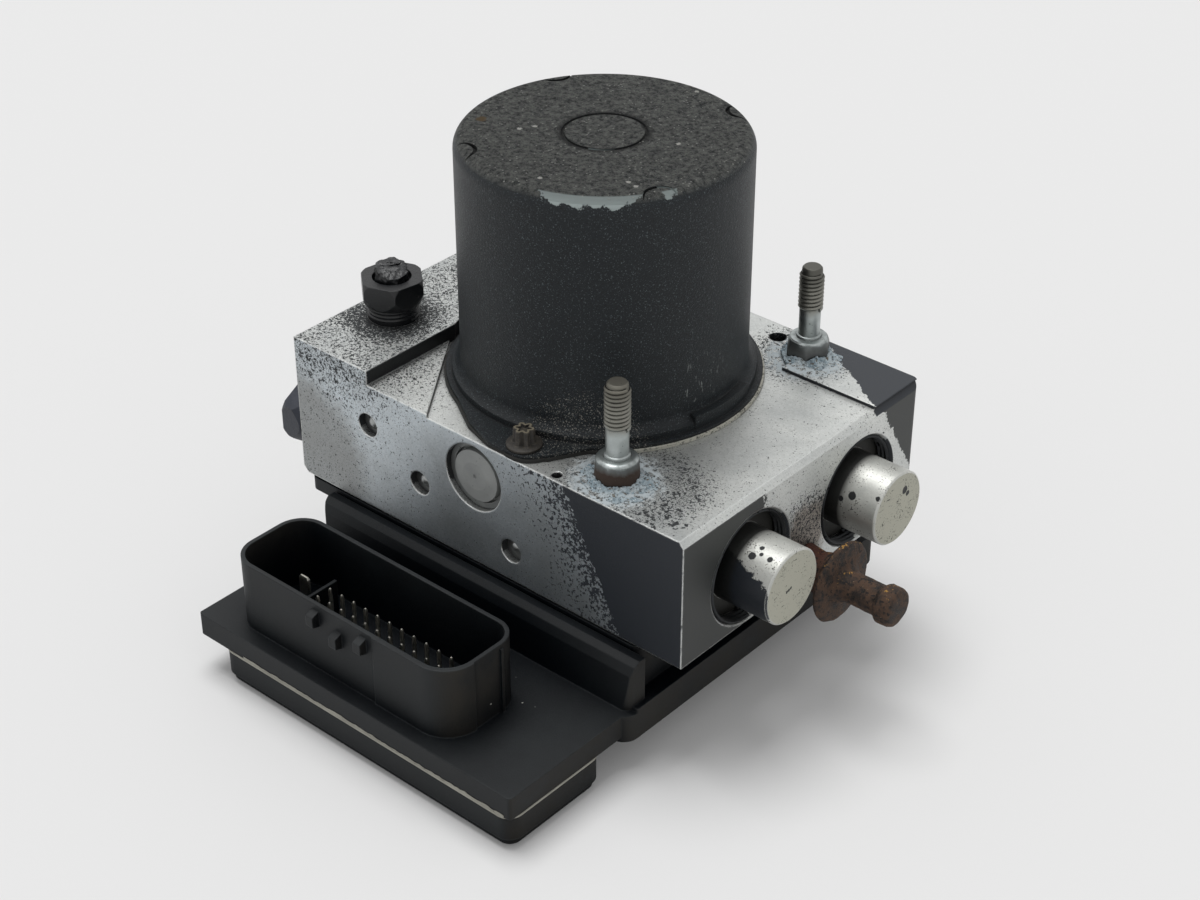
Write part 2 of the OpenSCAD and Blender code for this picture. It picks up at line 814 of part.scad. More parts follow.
module cam_needles() {
    color("white") translate([eccentric_throw, 0, journal_z + 0.8])
        for (i = [0:needle_count - 1]) rotate([0, 0, 360 * i / needle_count])
            translate([(journal_r + cam_in) / 2 + 0.02, 0, 0]) cylinder(r = needle_r, h = journal_h - 1.6);
}

// Round plate with two box guides for the brushes
module brush_plate() {
    guide_h = brush_z + brush_h + 0.8 - top_z;
    color("ivory") difference() {
        union() {
            bar_z(0, 0, top_z, can_r - can_wall - 0.3, 2.2);
            for (s = [0, 180]) rotate([0, 0, s])
                translate([-brush_w / 2 - 1.3, brush_in + 3, top_z]) cube([brush_w + 2.6, 15.6, guide_h]);
        }
        bar_z(0, 0, top_z - eps, 6, 4);
        for (s = [0, 180]) rotate([0, 0, s])
            translate([-brush_w / 2 - 0.1, 0, brush_z - 0.1]) cube([brush_w + 0.2, 26, brush_h + 0.2]);
        bar_z(terminal_x, 0, top_z - eps, terminal_r, 4);
    }
}

module brushes() {
    color("black") for (s = [0, 180]) rotate([0, 0, s]) difference() {
        translate([-brush_w / 2, brush_in - 1, brush_z]) cube([brush_w, brush_out - brush_in + 1, brush_h]);
        bar_z(0, 0, brush_z - eps, brush_in, brush_h + 2 * eps);
    }
}

module brush_springs() {
    color("gray") for (s = [-1, 1])
        translate([0, s * brush_out, brush_z + brush_h / 2]) rotate([s * -90, 0, 0])
            coil_spring(1.4, 0.25, 6.9, 7, 10, 5);
}

// Plastic post through the block, with two contact strips down to the circuit board
module motor_terminal() {
    color("khaki") {
        bar_z(terminal_x, 0, block_z + 0.5, terminal_r - fit_gap, block_h + 1.5);
        for (dx = [-1.6, 1.6]) translate([terminal_x + dx - 0.4, -1, board_z + board_h])
            cube([0.8, 2, block_z + 2 - board_z - board_h]);
    }
}

// Valves

// Valve body in the block and its dome below, closed at the bottom, with a bore for the plunger
module valve(x, y) {
    translate([x, y, 0]) difference() {
        union() {
            bar_z(0, 0, block_z + 0.3, valve_bore_r - fit_gap, valve_bore_h - 0.8);
            bar_z(0, 0, dome_z, dome_r, block_z - dome_z + 1);
        }
        bar_z(0, 0, dome_z + 1, dome_bore_r, block_z + 3 - dome_z);
        bar_z(0, 0, block_z, 1, 12);
    }
}

module inlet_valves() color("silver") for (x = valve_x) valve(x, -valve_y);
module outlet_valves() color("silver") for (x = valve_x) valve(x, valve_y);

module plunger(x, y) {
    color("darkgray") {
        bar_z(x, y, dome_z + 2.2, plunger_r, 15);
        bar_z(x, y, dome_z + 10, 0.9, block_z - dome_z);
    }
}

module inlet_plunger_1() plunger(valve_x[0], -valve_y);
module inlet_plunger_2() plunger(valve_x[1], -valve_y);
module inlet_plunger_3() plunger(valve_x[2], -valve_y);
module inlet_plunger_4() plunger(valve_x[3], -valve_y);
module outlet_plunger_1() plunger(valve_x[0], valve_y);
module outlet_plunger_2() plunger(valve_x[1], valve_y);
module outlet_plunger_3() plunger(valve_x[2], valve_y);
module outlet_plunger_4() plunger(valve_x[3], valve_y);

// Square-shouldered coils, each with two leads to the circuit board
module valve_coils() {
    color("peru") for (x = valve_x, y = [-valve_y, valve_y]) translate([x, y, 0]) {
        difference() {
            union() {
                bar_z(0, 0, coil_z, coil_r, 1.4);
                bar_z(0, 0, coil_z, coil_r - 0.8, coil_h);
                bar_z(0, 0, coil_z + coil_h - 1.4, coil_r, 1.4);
            }
            bar_z(0, 0, coil_z - eps, dome_r + 0.3, coil_h + 2 * eps);
        }
        for (dx = [-5.6, 5.6]) translate([dx - 0.3, -0.3, board_z + board_h])
            cube([0.6, 0.6, coil_z - board_z - board_h]);
    }
}

// Control unit

module shroud_plan(inset) {
    rounded_plan(
        shroud_x[0] + inset, shroud_x[1] - inset, shroud_y[0] + inset, shroud_y[1] - inset,
        [7 - inset, 8 - inset, 6 - inset, 7 - inset]
    );
}

module contact_slots(grow) {
    for (i = [0:pin_columns - 1], j = [0:pin_rows - 1])
        translate([pin_x + i * pin_pitch, pin_y_front + j * pin_pitch])
            square(pin_w + 2 * grow, center = true);
}

module blade_slot(grow) {
    translate(blade_at) square([blade_w + 2 * grow, blade_t + 2 * grow], center = true);
}

// Wall under the block, a lip on the left and the wide flange at its foot, which is higher beside the wall
module housing_frame() {
    prism(plate_z, frame_top - plate_z)
        rounded_plan(wall_left, wall_right, front_y, wall_rear, [5.8, 2, 4, 4]);
    prism(frame_top - lip_h, lip_h)
        rounded_plan(lip_x, -30, front_y, wall_rear, [2, 2, 2, 2]);
    prism(plate_z - flange_drop, plate_h + flange_drop)
        rounded_plan(-flange_half_w, flange_half_w, flange_front, wall_rear + 1.6, [4, 4, 4, 4]);
    prism(plate_top - eps, flange_rise + eps)
        rounded_plan(-flange_half_w, flange_half_w, -47, wall_rear + 1.6, [0.5, 0.5, 4, 4]);
}

// Thick dam along the foot of the block's front face: its front leans back and is rounded at the top
module housing_dam() {
    intersection() {
        translate([wall_left, 0, 0]) rotate([90, 0, 90]) linear_extrude(dam_x - wall_left) polygon([
            [-40, plate_z], [dam_front, plate_z], [dam_front, plate_top],
            [dam_front + 1, dam_top - 3], [dam_front + 2, dam_top - 0.9], [dam_front + 3.6, dam_top],
            [dam_back, dam_top], [dam_back, plate_top + 1], [-40, plate_top + 1]
        ]);
        prism(plate_z, frame_h + plate_h) rounded_plan(wall_left, dam_x, dam_front, -38, [4, 2.5, 0.5, 0.5]);
    }
}

// Front plate and, between it and the lip, the concave fillet that carries the lip
module housing_plate() {
    prism(plate_z, plate_h)
        rounded_plan(-plate_half_w, plate_half_w, -plate_front, flange_front + 8, [0.8, 0.8, 0.8, 0.8]);
    fillet_r = 4;
    translate([wall_left - fillet_r, wall_rear - fillet_r, frame_top - lip_h - fillet_r]) rotate([90, 0, 0])
        linear_extrude(wall_rear - front_y - 2 * fillet_r) difference() {
            square(fillet_r + 0.2);
            circle(fillet_r);
        }
}

// Hollows: the coil room under the block, the shallow pocket under the plate and the opening to the cover
module housing_hollows() {
    difference() {
        prism(plate_z + floor_h, frame_h + plate_h)
            seal_plan(frame_wall, [3, 3, 3, 3]);
        for (p = ecu_screw_at) {
            bar_z(p[0], p[1], plate_z, 4, frame_h + plate_h);
            translate([p[0] > 0 ? p[0] : p[0] - 8, p[1] > 0 ? p[1] : p[1] - 8, plate_z])
                cube([8, 8, frame_h + plate_h]);
        }
    }
    prism(plate_z - 1, floor_h + 2)
        rounded_plan(2 - cover_half_w, cover_half_w - 2, cover_step_y + 18, cover_rear_y - 2, [3, 3, 3, 3]);
    pocket_edge = 2.2;
    prism(plate_z - 1, pocket_depth + 1) rounded_plan(
        cover_left + pocket_edge, plate_half_w - pocket_edge, pocket_edge - plate_front, cover_step_y + 14,
        [2, 2, 2, 2]
    );
    prism(plate_z - 2, 2) cover_plan(-0.6);
}

// Shroud of the connector: thicker round its front right corner, with a rib on its right side,
// a divider inside and three small lugs in front
module connector_shroud() {
    prism(plate_top - 1, shroud_h + 1) difference() {
        union() {
            shroud_plan(0);
            intersection() {
                shroud_plan(-shroud_step);
                translate([shroud_step_x, shroud_y[0] - 1]) square([30, 9]);
            }
        }
        shroud_plan(shroud_wall);
    }
    translate([shroud_x[1] - 0.5, shroud_y[1] - 6.8, plate_top - 0.5]) cube([1.1, 0.7, shroud_h - 0.5]);
    translate([blade_at[0] + 3.2, shroud_y[0] + 0.5, plate_top - 0.5]) cube([0.8, 16.3, 10]);
    for (p = lugs)
        translate([p[0], shroud_y[0], p[1]]) rotate([0, 90, 0]) linear_extrude(lug_w, center = true)
            polygon([[-1.8, 0.5], [-0.8, -2], [1.8, -2], [2.6, 0.5]]);
}

module ecu_housing() {
    color("darkslategray") difference() {
        union() {
            housing_frame();
            housing_dam();
            housing_plate();
            connector_shroud();
        }
        housing_hollows();
        prism(plate_z - 1, plate_h + 2) contact_slots(fit_gap);
        prism(plate_z - 1, plate_h + 2) blade_slot(fit_gap);
        for (p = ecu_screw_at) bar_z(p[0], p[1], plate_z - 2, ecu_screw_r + 0.2, 31);
    }
}

module connector_pins() {
    color("gold") prism(board_z + board_h, pin_tip - board_z - board_h) contact_slots(0);
}

module power_blades() {
    color("silver") prism(board_z + board_h, blade_tip - board_z - board_h) blade_slot(0);
}

// Outline of the bottom cover: a wide front and a narrower rear
module cover_plan(inset) {
    r = cover_corner_r - inset * 0.8;
    side_x = cover_half_w - inset;
    front_x = [cover_left + inset, plate_half_w - inset];
    rounded_plan(front_x[0], front_x[1], inset - plate_front, cover_step_y - inset, [r, r, r, 0.2]);
    rounded_plan(-side_x, side_x, cover_step_y - 8, cover_rear_y - inset, [0.2, 0.2, r, r]);
}

module ecu_cover() {
    color("darkslategray") difference() {
        union() {
            prism(cover_edge, cover_h - bead_h - cover_edge) cover_plan(0);
            prism(0.8, cover_edge) cover_plan(0.8);
            prism(0, cover_edge) cover_plan(2);
        }
        prism(cover_floor, cover_h) cover_plan(cover_wall + 0.6);
    }
}

module cover_seal() {
    color("gainsboro") prism(cover_h - bead_h, bead_h) difference() {
        cover_plan(-0.15);
        cover_plan(cover_wall);
    }
}

// Board with its processor, a power stage and three capacitors on the underside
module circuit_board() {
    color("seagreen") {
        prism(board_z, board_h) cover_plan(cover_wall + 1.2);
        translate([-12, -30, board_z - 1.8]) cube([24, 24, 2]);
        translate([-10, 6, board_z - 1.6]) cube([16, 10, 2]);
        for (x = [-26, -16, -6]) bar_z(x, -75, board_z - 3, 3.5, 3.2);
    }
}

module ecu_screws() {
    head_h = 2.4;
    head_z = plate_z - flange_drop - head_h;
    color("dimgray") for (p = ecu_screw_at) translate([p[0], p[1], 0]) difference() {
        union() {
            bar_z(0, 0, head_z, ecu_head_r, head_h);
            bar_z(0, 0, head_z, ecu_screw_r - fit_gap, block_z + ecu_screw_depth - 0.5 - head_z);
        }
        prism(head_z - 1, 2.4) circle(1.6, $fn = 6);
    }
}

module seal_plan(inset, r) {
    rounded_plan(wall_left + inset, wall_right - inset, front_y + inset, wall_rear - inset, r);
}

module block_seal() {
    color("black") prism(frame_top, seal_h) difference() {
        seal_plan(0.4, [5.4, 1.6, 3.6, 3.6]);
        seal_plan(2.4, [3, 1, 2, 2]);
        for (p = ecu_screw_at) translate(p) circle(ecu_screw_r + 0.2);
    }
}

valve_block();
motor_housing();
motor_gasket();
motor_screws();
mounting_stud_front();
mounting_stud_rear();
mounting_pin();
accumulator_cap_front();
accumulator_cap_rear();
accumulator_piston_front();
accumulator_piston_rear();
accumulator_spring_front();
accumulator_spring_rear();
pump_caps();
retaining_rings();
pump_sleeves();
pump_piston_front();
pump_piston_rear();
pump_spring_front();
pump_spring_rear();
ball_plugs();
pipe_nut_top();
pipe_stub_top();
pipe_nut_side();
pipe_stub_side();
motor_magnets();
armature_core();
armature_windings();
commutator();
motor_shaft();
bearing_upper();
bearing_middle();
bearing_lower();
cam_ring();
cam_needles();
brush_plate();
brushes();
brush_springs();
motor_terminal();
inlet_valves();
outlet_valves();
inlet_plunger_1();
inlet_plunger_2();
inlet_plunger_3();
inlet_plunger_4();
outlet_plunger_1();
outlet_plunger_2();
outlet_plunger_3();
outlet_plunger_4();
valve_coils();
ecu_housing();
connector_pins();
power_blades();
circuit_board();
ecu_cover();
cover_seal();
ecu_screws();
block_seal();
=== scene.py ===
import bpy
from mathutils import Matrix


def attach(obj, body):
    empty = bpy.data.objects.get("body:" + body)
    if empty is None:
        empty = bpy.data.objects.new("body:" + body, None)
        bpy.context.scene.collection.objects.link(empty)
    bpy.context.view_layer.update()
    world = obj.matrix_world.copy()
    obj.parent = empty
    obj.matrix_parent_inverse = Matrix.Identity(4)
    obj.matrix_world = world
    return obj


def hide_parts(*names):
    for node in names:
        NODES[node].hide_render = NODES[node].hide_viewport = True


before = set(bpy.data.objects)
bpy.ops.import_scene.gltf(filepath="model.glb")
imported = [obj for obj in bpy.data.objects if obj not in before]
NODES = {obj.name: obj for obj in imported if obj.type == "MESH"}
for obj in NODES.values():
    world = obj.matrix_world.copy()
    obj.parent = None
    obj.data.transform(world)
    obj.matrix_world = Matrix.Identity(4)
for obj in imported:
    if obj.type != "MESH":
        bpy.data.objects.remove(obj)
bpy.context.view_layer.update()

import math

import bpy
from mathutils import Matrix, Vector

MM = 0.001

# Levels and places on the part, in millimetres
BLOCK_TOP = 61.0
LEDGE_TOP = 65.5
PLATE_TOP = 15.0
RIGHT_X = 58.5
FRONT_Y = -42.5
STUD_X = 31.8
STUD_FRONT_Y = -32.4
STUD_REAR_Y = 35.5
CAP_Z = 42.55
CAP_FRONT_Y = -19.0
CAP_REAR_Y = 20.0
CAP_END_X = RIGHT_X + 11
NUT_X = -48.4
NUT_Y = -19.9
MOTOR_SCREWS = [(10, -38), (-10, 38)]
SCREW_FOOT = 62.5

# How the front cap's dark coat leans: it lies where this direction's reach is high
COAT_SLOPE = (-0.26, -1.0, -0.14)


# Nodes and colours

def linear(hex_colour):
    """An sRGB hex colour as the linear colour that a shader takes."""
    channels = [int(hex_colour[i:i + 2], 16) / 255 for i in (0, 2, 4)]
    return [c / 12.92 if c <= 0.04045 else ((c + 0.055) / 1.055) ** 2.4 for c in channels] + [1.0]


def add(tree, kind, inputs=None, out=0, **settings):
    """Adds a node with its settings and its inputs, each a value or another node's socket."""
    node = tree.nodes.new("ShaderNode" + kind)
    for name, value in settings.items():
        setattr(node, name, value)
    for key, value in (inputs or {}).items():
        if isinstance(value, bpy.types.NodeSocket):
            tree.links.new(value, node.inputs[key])
        else:
            node.inputs[key].default_value = value
    return node.outputs[out]


def material(name, **constants):
    """A new material: its tree, its shader and the place on the part in millimetres."""
    made = bpy.data.materials.new(name)
    made.use_nodes = True
    tree = made.node_tree
    shader = tree.nodes["Principled BSDF"]
    for socket, value in constants.items():
        shader.inputs[socket.replace("_", " ")].default_value = value
    place = add(tree, "TexCoord", out="Object")
    place = add(tree, "VectorMath", {0: place, "Scale": 1 / MM}, operation="SCALE")
    return made, tree, shader, place


def wear(made, tree, shader, **values):
    """Links each value to the shader's socket of that name, and gives the material back."""
    for name, value in values.items():
        tree.links.new(value, shader.inputs[name.replace("_", " ")])
    return made


def pepper(tree, place, size, amount):
    """Irregular flecks of about that size: none at amount 0, half the surface at 0.5, all of it at 1."""
    grain = add(tree, "TexNoise", {"Vector": place, "Scale": 1 / size, "Detail": 3.0, "Roughness": 0.6})
    level = add(tree, "Math", {0: amount, 1: 0.65, 2: grain}, operation="MULTIPLY_ADD")
    return add(tree, "MapRange", {0: level, 1: 0.83, 2: 0.87})


def specks(tree, place, size, share):
    """Small round dots, one in each cell of that size, in a share of the cells."""
    near = add(tree, "TexVoronoi", {"Vector": place, "Scale": 1 / size})
    chosen = add(tree, "Math", {0: near.node.outputs["Color"], 1: share}, operation="LESS_THAN")
    dot = add(tree, "MapRange", {0: near, 1: 0.32, 2: 0.16})
    return add(tree, "Math", {0: dot, 1: chosen}, operation="MULTIPLY")


def spot(tree, place, centre, reach, ragged=1.0):
    """1 near a point, fading to 0 at the reach, with a ragged rim."""
    far = add(tree, "VectorMath", {0: place, 1: centre}, out="Value", operation="DISTANCE")
    grain = add(tree, "TexNoise", {"Vector": place, "Scale": 0.4, "Detail": 4.0})
    level = add(tree, "Math", {0: grain, 1: ragged * 4, 2: far}, operation="MULTIPLY_ADD")
    return add(tree, "MapRange", {0: level, 1: reach + ragged * 2, 2: reach * 0.6 + ragged * 2},
               interpolation_type="SMOOTHSTEP")


def soft_edges(tree, radius):
    """The normal with every edge rounded by that radius, and a mask of those edges."""
    rounded = add(tree, "Bevel", {"Radius": radius * MM}, samples=4)
    true = add(tree, "NewGeometry", out="True Normal")
    turn = add(tree, "VectorMath", {0: rounded, 1: true}, out="Value", operation="DOT_PRODUCT")
    return rounded, add(tree, "MapRange", {0: turn, 1: 0.99, 2: 0.86})


def layered(tree, base, layers):
    """Lays colours over a base colour, each where its mask is 1."""
    for mask, hex_colour in layers:
        base = add(tree, "Mix", {0: mask, 6: base, 7: linear(hex_colour)}, out=2, data_type="RGBA")
    return base


def graded(tree, base, layers):
    """Lays values over a base value, each where its mask is 1."""
    for mask, value in layers:
        base = add(tree, "Mix", {0: mask, 2: base, 3: value})
    return base


# Finishes

def bead_rolled_aluminium():
    """Extruded aluminium, bead-rolled and then milled on top: silver, peppered with dirt, with a dark
    sealing coat on its two right corners, white corrosion round the studs and edges rubbed bright."""
    made, tree, shader, place = material("bead_rolled_aluminium")
    x, y, z = add(tree, "SeparateXYZ", {0: place}).node.outputs
    nx, ny, nz = add(tree, "SeparateXYZ", {0: add(tree, "TexCoord", out="Normal")}).node.outputs
    rounded, edge = soft_edges(tree, 0.55)
    grain = add(tree, "TexNoise", {"Vector": place, "Scale": 1 / 0.45, "Detail": 4.0, "Roughness": 0.7})
    cloud = add(tree, "TexNoise", {"Vector": place, "Scale": 1 / 16, "Detail": 5.0, "Roughness": 0.6})
    wander = add(tree, "TexNoise", {"Vector": place, "Scale": 1 / 2.2, "Detail": 5.0, "Roughness": 0.65})

    on_front = add(tree, "MapRange", {0: ny, 1: -0.55, 2: -0.8})
    on_right = add(tree, "MapRange", {0: nx, 1: 0.8, 2: 0.95})
    on_top = add(tree, "MapRange", {0: nz, 1: 0.45, 2: 0.65})
    on_rear = add(tree, "MapRange", {0: ny, 1: 0.55, 2: 0.8})

    # The coat's border on the front face is a slanting line, with flecks of coat to its left
    slant = add(tree, "Math", {0: z, 1: 0.489, 2: x}, operation="MULTIPLY_ADD")
    front_flecks = add(tree, "MapRange", {0: slant, 1: 16.0, 2: 56.0, 4: 0.6})
    front_coat = add(tree, "Math", {0: wander, 1: 2.5, 2: slant}, operation="MULTIPLY_ADD")
    front_coat = add(tree, "MapRange", {0: front_coat, 1: 56.6, 2: 57.8, 4: 0.9})
    front_amount = add(tree, "Math", {0: front_flecks, 1: front_coat})
    front_amount = add(tree, "Math", {0: front_amount, 1: on_front}, operation="MULTIPLY")
    # On the right face it covers the front part and, beyond another slanting line, the rear corner
    front_part = add(tree, "Math", {0: wander, 1: 7.0, 2: y}, operation="MULTIPLY_ADD")
    rear_slant = add(tree, "Math", {0: z, 1: 0.6, 2: y}, operation="MULTIPLY_ADD")
    rear_part = add(tree, "Math", {0: wander, 1: 3.0, 2: rear_slant}, operation="MULTIPLY_ADD")
    right_amount = add(tree, "Math", {
        0: add(tree, "MapRange", {0: front_part, 1: -10.5, 2: -12.5}),
        1: add(tree, "MapRange", {0: rear_part, 1: 65.0, 2: 66.5})}, operation="MAXIMUM")
    right_amount = add(tree, "Math", {0: right_amount, 1: on_right}, operation="MULTIPLY")
    # On the top it covers the rear right corner only
    corner = add(tree, "VectorMath", {0: place, 1: (0.53, 0.85, 0.0)}, out="Value", operation="DOT_PRODUCT")
    corner = add(tree, "Math", {0: wander, 1: 3.0, 2: corner}, operation="MULTIPLY_ADD")
    top_amount = add(tree, "MapRange", {0: corner, 1: 53.6, 2: 54.4})
    top_amount = add(tree, "Math", {0: top_amount, 1: on_top}, operation="MULTIPLY")
    # The rear face is coated over its right end
    rear_amount = add(tree, "MapRange", {0: x, 1: 20.0, 2: 46.0})
    rear_amount = add(tree, "Math", {0: rear_amount, 1: on_rear}, operation="MULTIPLY")
    coat_amount = front_amount
    for amount in (right_amount, top_amount, rear_amount):
        coat_amount = add(tree, "Math", {0: coat_amount, 1: amount}, operation="MAXIMUM")
    coat = pepper(tree, place, 0.75, coat_amount)

    # Dirt: dense on the ledge and round the studs, thin elsewhere, with blotches under the ledge's edge
    ledge = add(tree, "MapRange", {0: x, 1: -13.0, 2: -36.0, 4: 0.19})
    high = add(tree, "MapRange", {0: z, 1: 52.0, 2: 62.0, 3: 0.3, 4: 1.0})
    dirt_amount = add(tree, "Math", {0: ledge, 1: high, 2: 0.16}, operation="MULTIPLY_ADD")
    by_stud = add(tree, "Math", {0: spot(tree, place, (37.0, -33.0, BLOCK_TOP), 21.0),
                                 1: spot(tree, place, (STUD_X, STUD_REAR_Y, BLOCK_TOP), 17.0)},
                  operation="MAXIMUM")
    dirt_amount = add(tree, "Math", {0: by_stud, 1: 0.19, 2: dirt_amount}, operation="MULTIPLY_ADD")
    by_nut = spot(tree, place, (-48.0, -20.5, LEDGE_TOP), 14.0)
    dirt_amount = add(tree, "Math", {0: by_nut, 1: 0.12, 2: dirt_amount}, operation="MULTIPLY_ADD")
    between = spot(tree, place, (RIGHT_X, 0.0, 43.0), 12.0)
    dirt_amount = add(tree, "Math", {0: between, 1: 0.16, 2: dirt_amount}, operation="MULTIPLY_ADD")
    dirt_amount = add(tree, "Math", {0: cloud, 1: 0.22, 2: dirt_amount}, operation="MULTIPLY_ADD")
    dirt = add(tree, "Math", {0: pepper(tree, place, 0.62, dirt_amount),
                              1: pepper(tree, place, 0.33, dirt_amount)}, operation="MAXIMUM")
    blot_amount = add(tree, "Math", {
        0: add(tree, "MapRange", {0: z, 1: 53.0, 2: 58.0}),
        1: add(tree, "MapRange", {0: x, 1: -18.0, 2: -34.0, 4: 0.34})}, operation="MULTIPLY")
    blots = add(tree, "Math", {0: pepper(tree, place, 2.4, blot_amount), 1: on_front}, operation="MULTIPLY")
    patch_amount = add(tree, "Math", {0: spot(tree, place, (49.5, -39.0, BLOCK_TOP), 9.0), 1: 0.42},
                       operation="MULTIPLY")
    patch = pepper(tree, place, 1.9, patch_amount)

    # Painted shade darkens the crevices: the step beside the ledge, the gap round the motor and the bores
    open_sky = add(tree, "AmbientOcclusion", {"Distance": 5 * MM}, out="AO", samples=4)
    painted_shade = add(tree, "Math", {0: grain, 1: 0.45, 2: open_sky}, operation="MULTIPLY_ADD")
    painted_shade = add(tree, "MapRange", {0: painted_shade, 1: 0.95, 2: 0.62})
    # Painted shade: the step risers, the faces turned to +X left of x 0, are painted near black
    riser_shade = add(tree, "Math", {0: add(tree, "MapRange", {0: nx, 1: 0.8, 2: 0.95}),
                               1: add(tree, "MapRange", {0: x, 1: 0.0, 2: -20.0})}, operation="MULTIPLY")
    crust = add(tree, "Math", {0: spot(tree, place, (32.5, -33.5, BLOCK_TOP), 12.5, 1.6),
                               1: spot(tree, place, (33.0, 34.5, BLOCK_TOP), 12.0, 1.6)},
                operation="MAXIMUM")
    crust = add(tree, "Math", {0: crust, 1: pepper(tree, place, 1.1, 0.6)}, operation="MULTIPLY")
    brown = add(tree, "Math", {0: spot(tree, place, (RIGHT_X, 1.0, 41.0), 10.0, 1.5), 1: 0.6},
                operation="MULTIPLY")
    damp = add(tree, "Math", {0: spot(tree, place, (-56.0, FRONT_Y, 36.0), 24.0, 2.0), 1: 0.55},
               operation="MULTIPLY")
    worn = add(tree, "Math", {0: edge, 1: add(tree, "MapRange", {0: wander, 1: 0.3, 2: 0.46})},
               operation="MULTIPLY")
    worn = add(tree, "Math", {0: worn, 1: add(tree, "MapRange", {0: y, 1: 22.0, 2: 14.0})},
               operation="MULTIPLY")
    # The coat is a paler grey on faces turned to +X
    right_face_coat = add(tree, "Math", {0: coat, 1: on_right}, operation="MULTIPLY")

    # Painted reflection: the front faces get a bluer silver than the others
    front_reflection_tint = add(tree, "Mix", {0: on_front, 6: linear("e2e3df"), 7: linear("dbe4ea")}, out=2, data_type="RGBA")
    silver = add(tree, "Mix", {0: cloud, 6: linear("9da1a2"), 7: front_reflection_tint}, out=2, data_type="RGBA")
    silver = add(tree, "Mix", {0: 0.4, 6: silver, 7: grain}, out=2, data_type="RGBA", blend_type="OVERLAY")
    colour = layered(tree, silver, [
        (brown, "6b543c"), (damp, "6e6a62"), (dirt, "25282a"), (blots, "34383b"), (patch, "1f2224"),
        (crust, "b4bdc1"), (coat, "2a2e34"), (right_face_coat, "343635"), (riser_shade, "17191b"), (painted_shade, "141517"),
        (worn, "e4e6e4")])
    bare = graded(tree, 1.0, [(damp, 0.4), (dirt, 0.0), (blots, 0.0), (patch, 0.0), (crust, 0.0),
                              (coat, 0.15), (riser_shade, 0.0), (painted_shade, 0.0), (worn, 1.0)])
    rough = graded(tree, 0.42, [(grain, 0.5), (dirt, 0.8), (crust, 0.9), (coat, 0.5), (painted_shade, 0.8),
                                (worn, 0.3)])
    height = graded(tree, grain, [(coat, 0.75), (dirt, 0.95), (crust, 1.6)])
    bump = add(tree, "Bump", {"Height": height, "Strength": 0.5, "Distance": 0.12 * MM, "Normal": rounded})
    return wear(made, tree, shader, Base_Color=colour, Metallic=bare, Roughness=rough, Normal=bump)


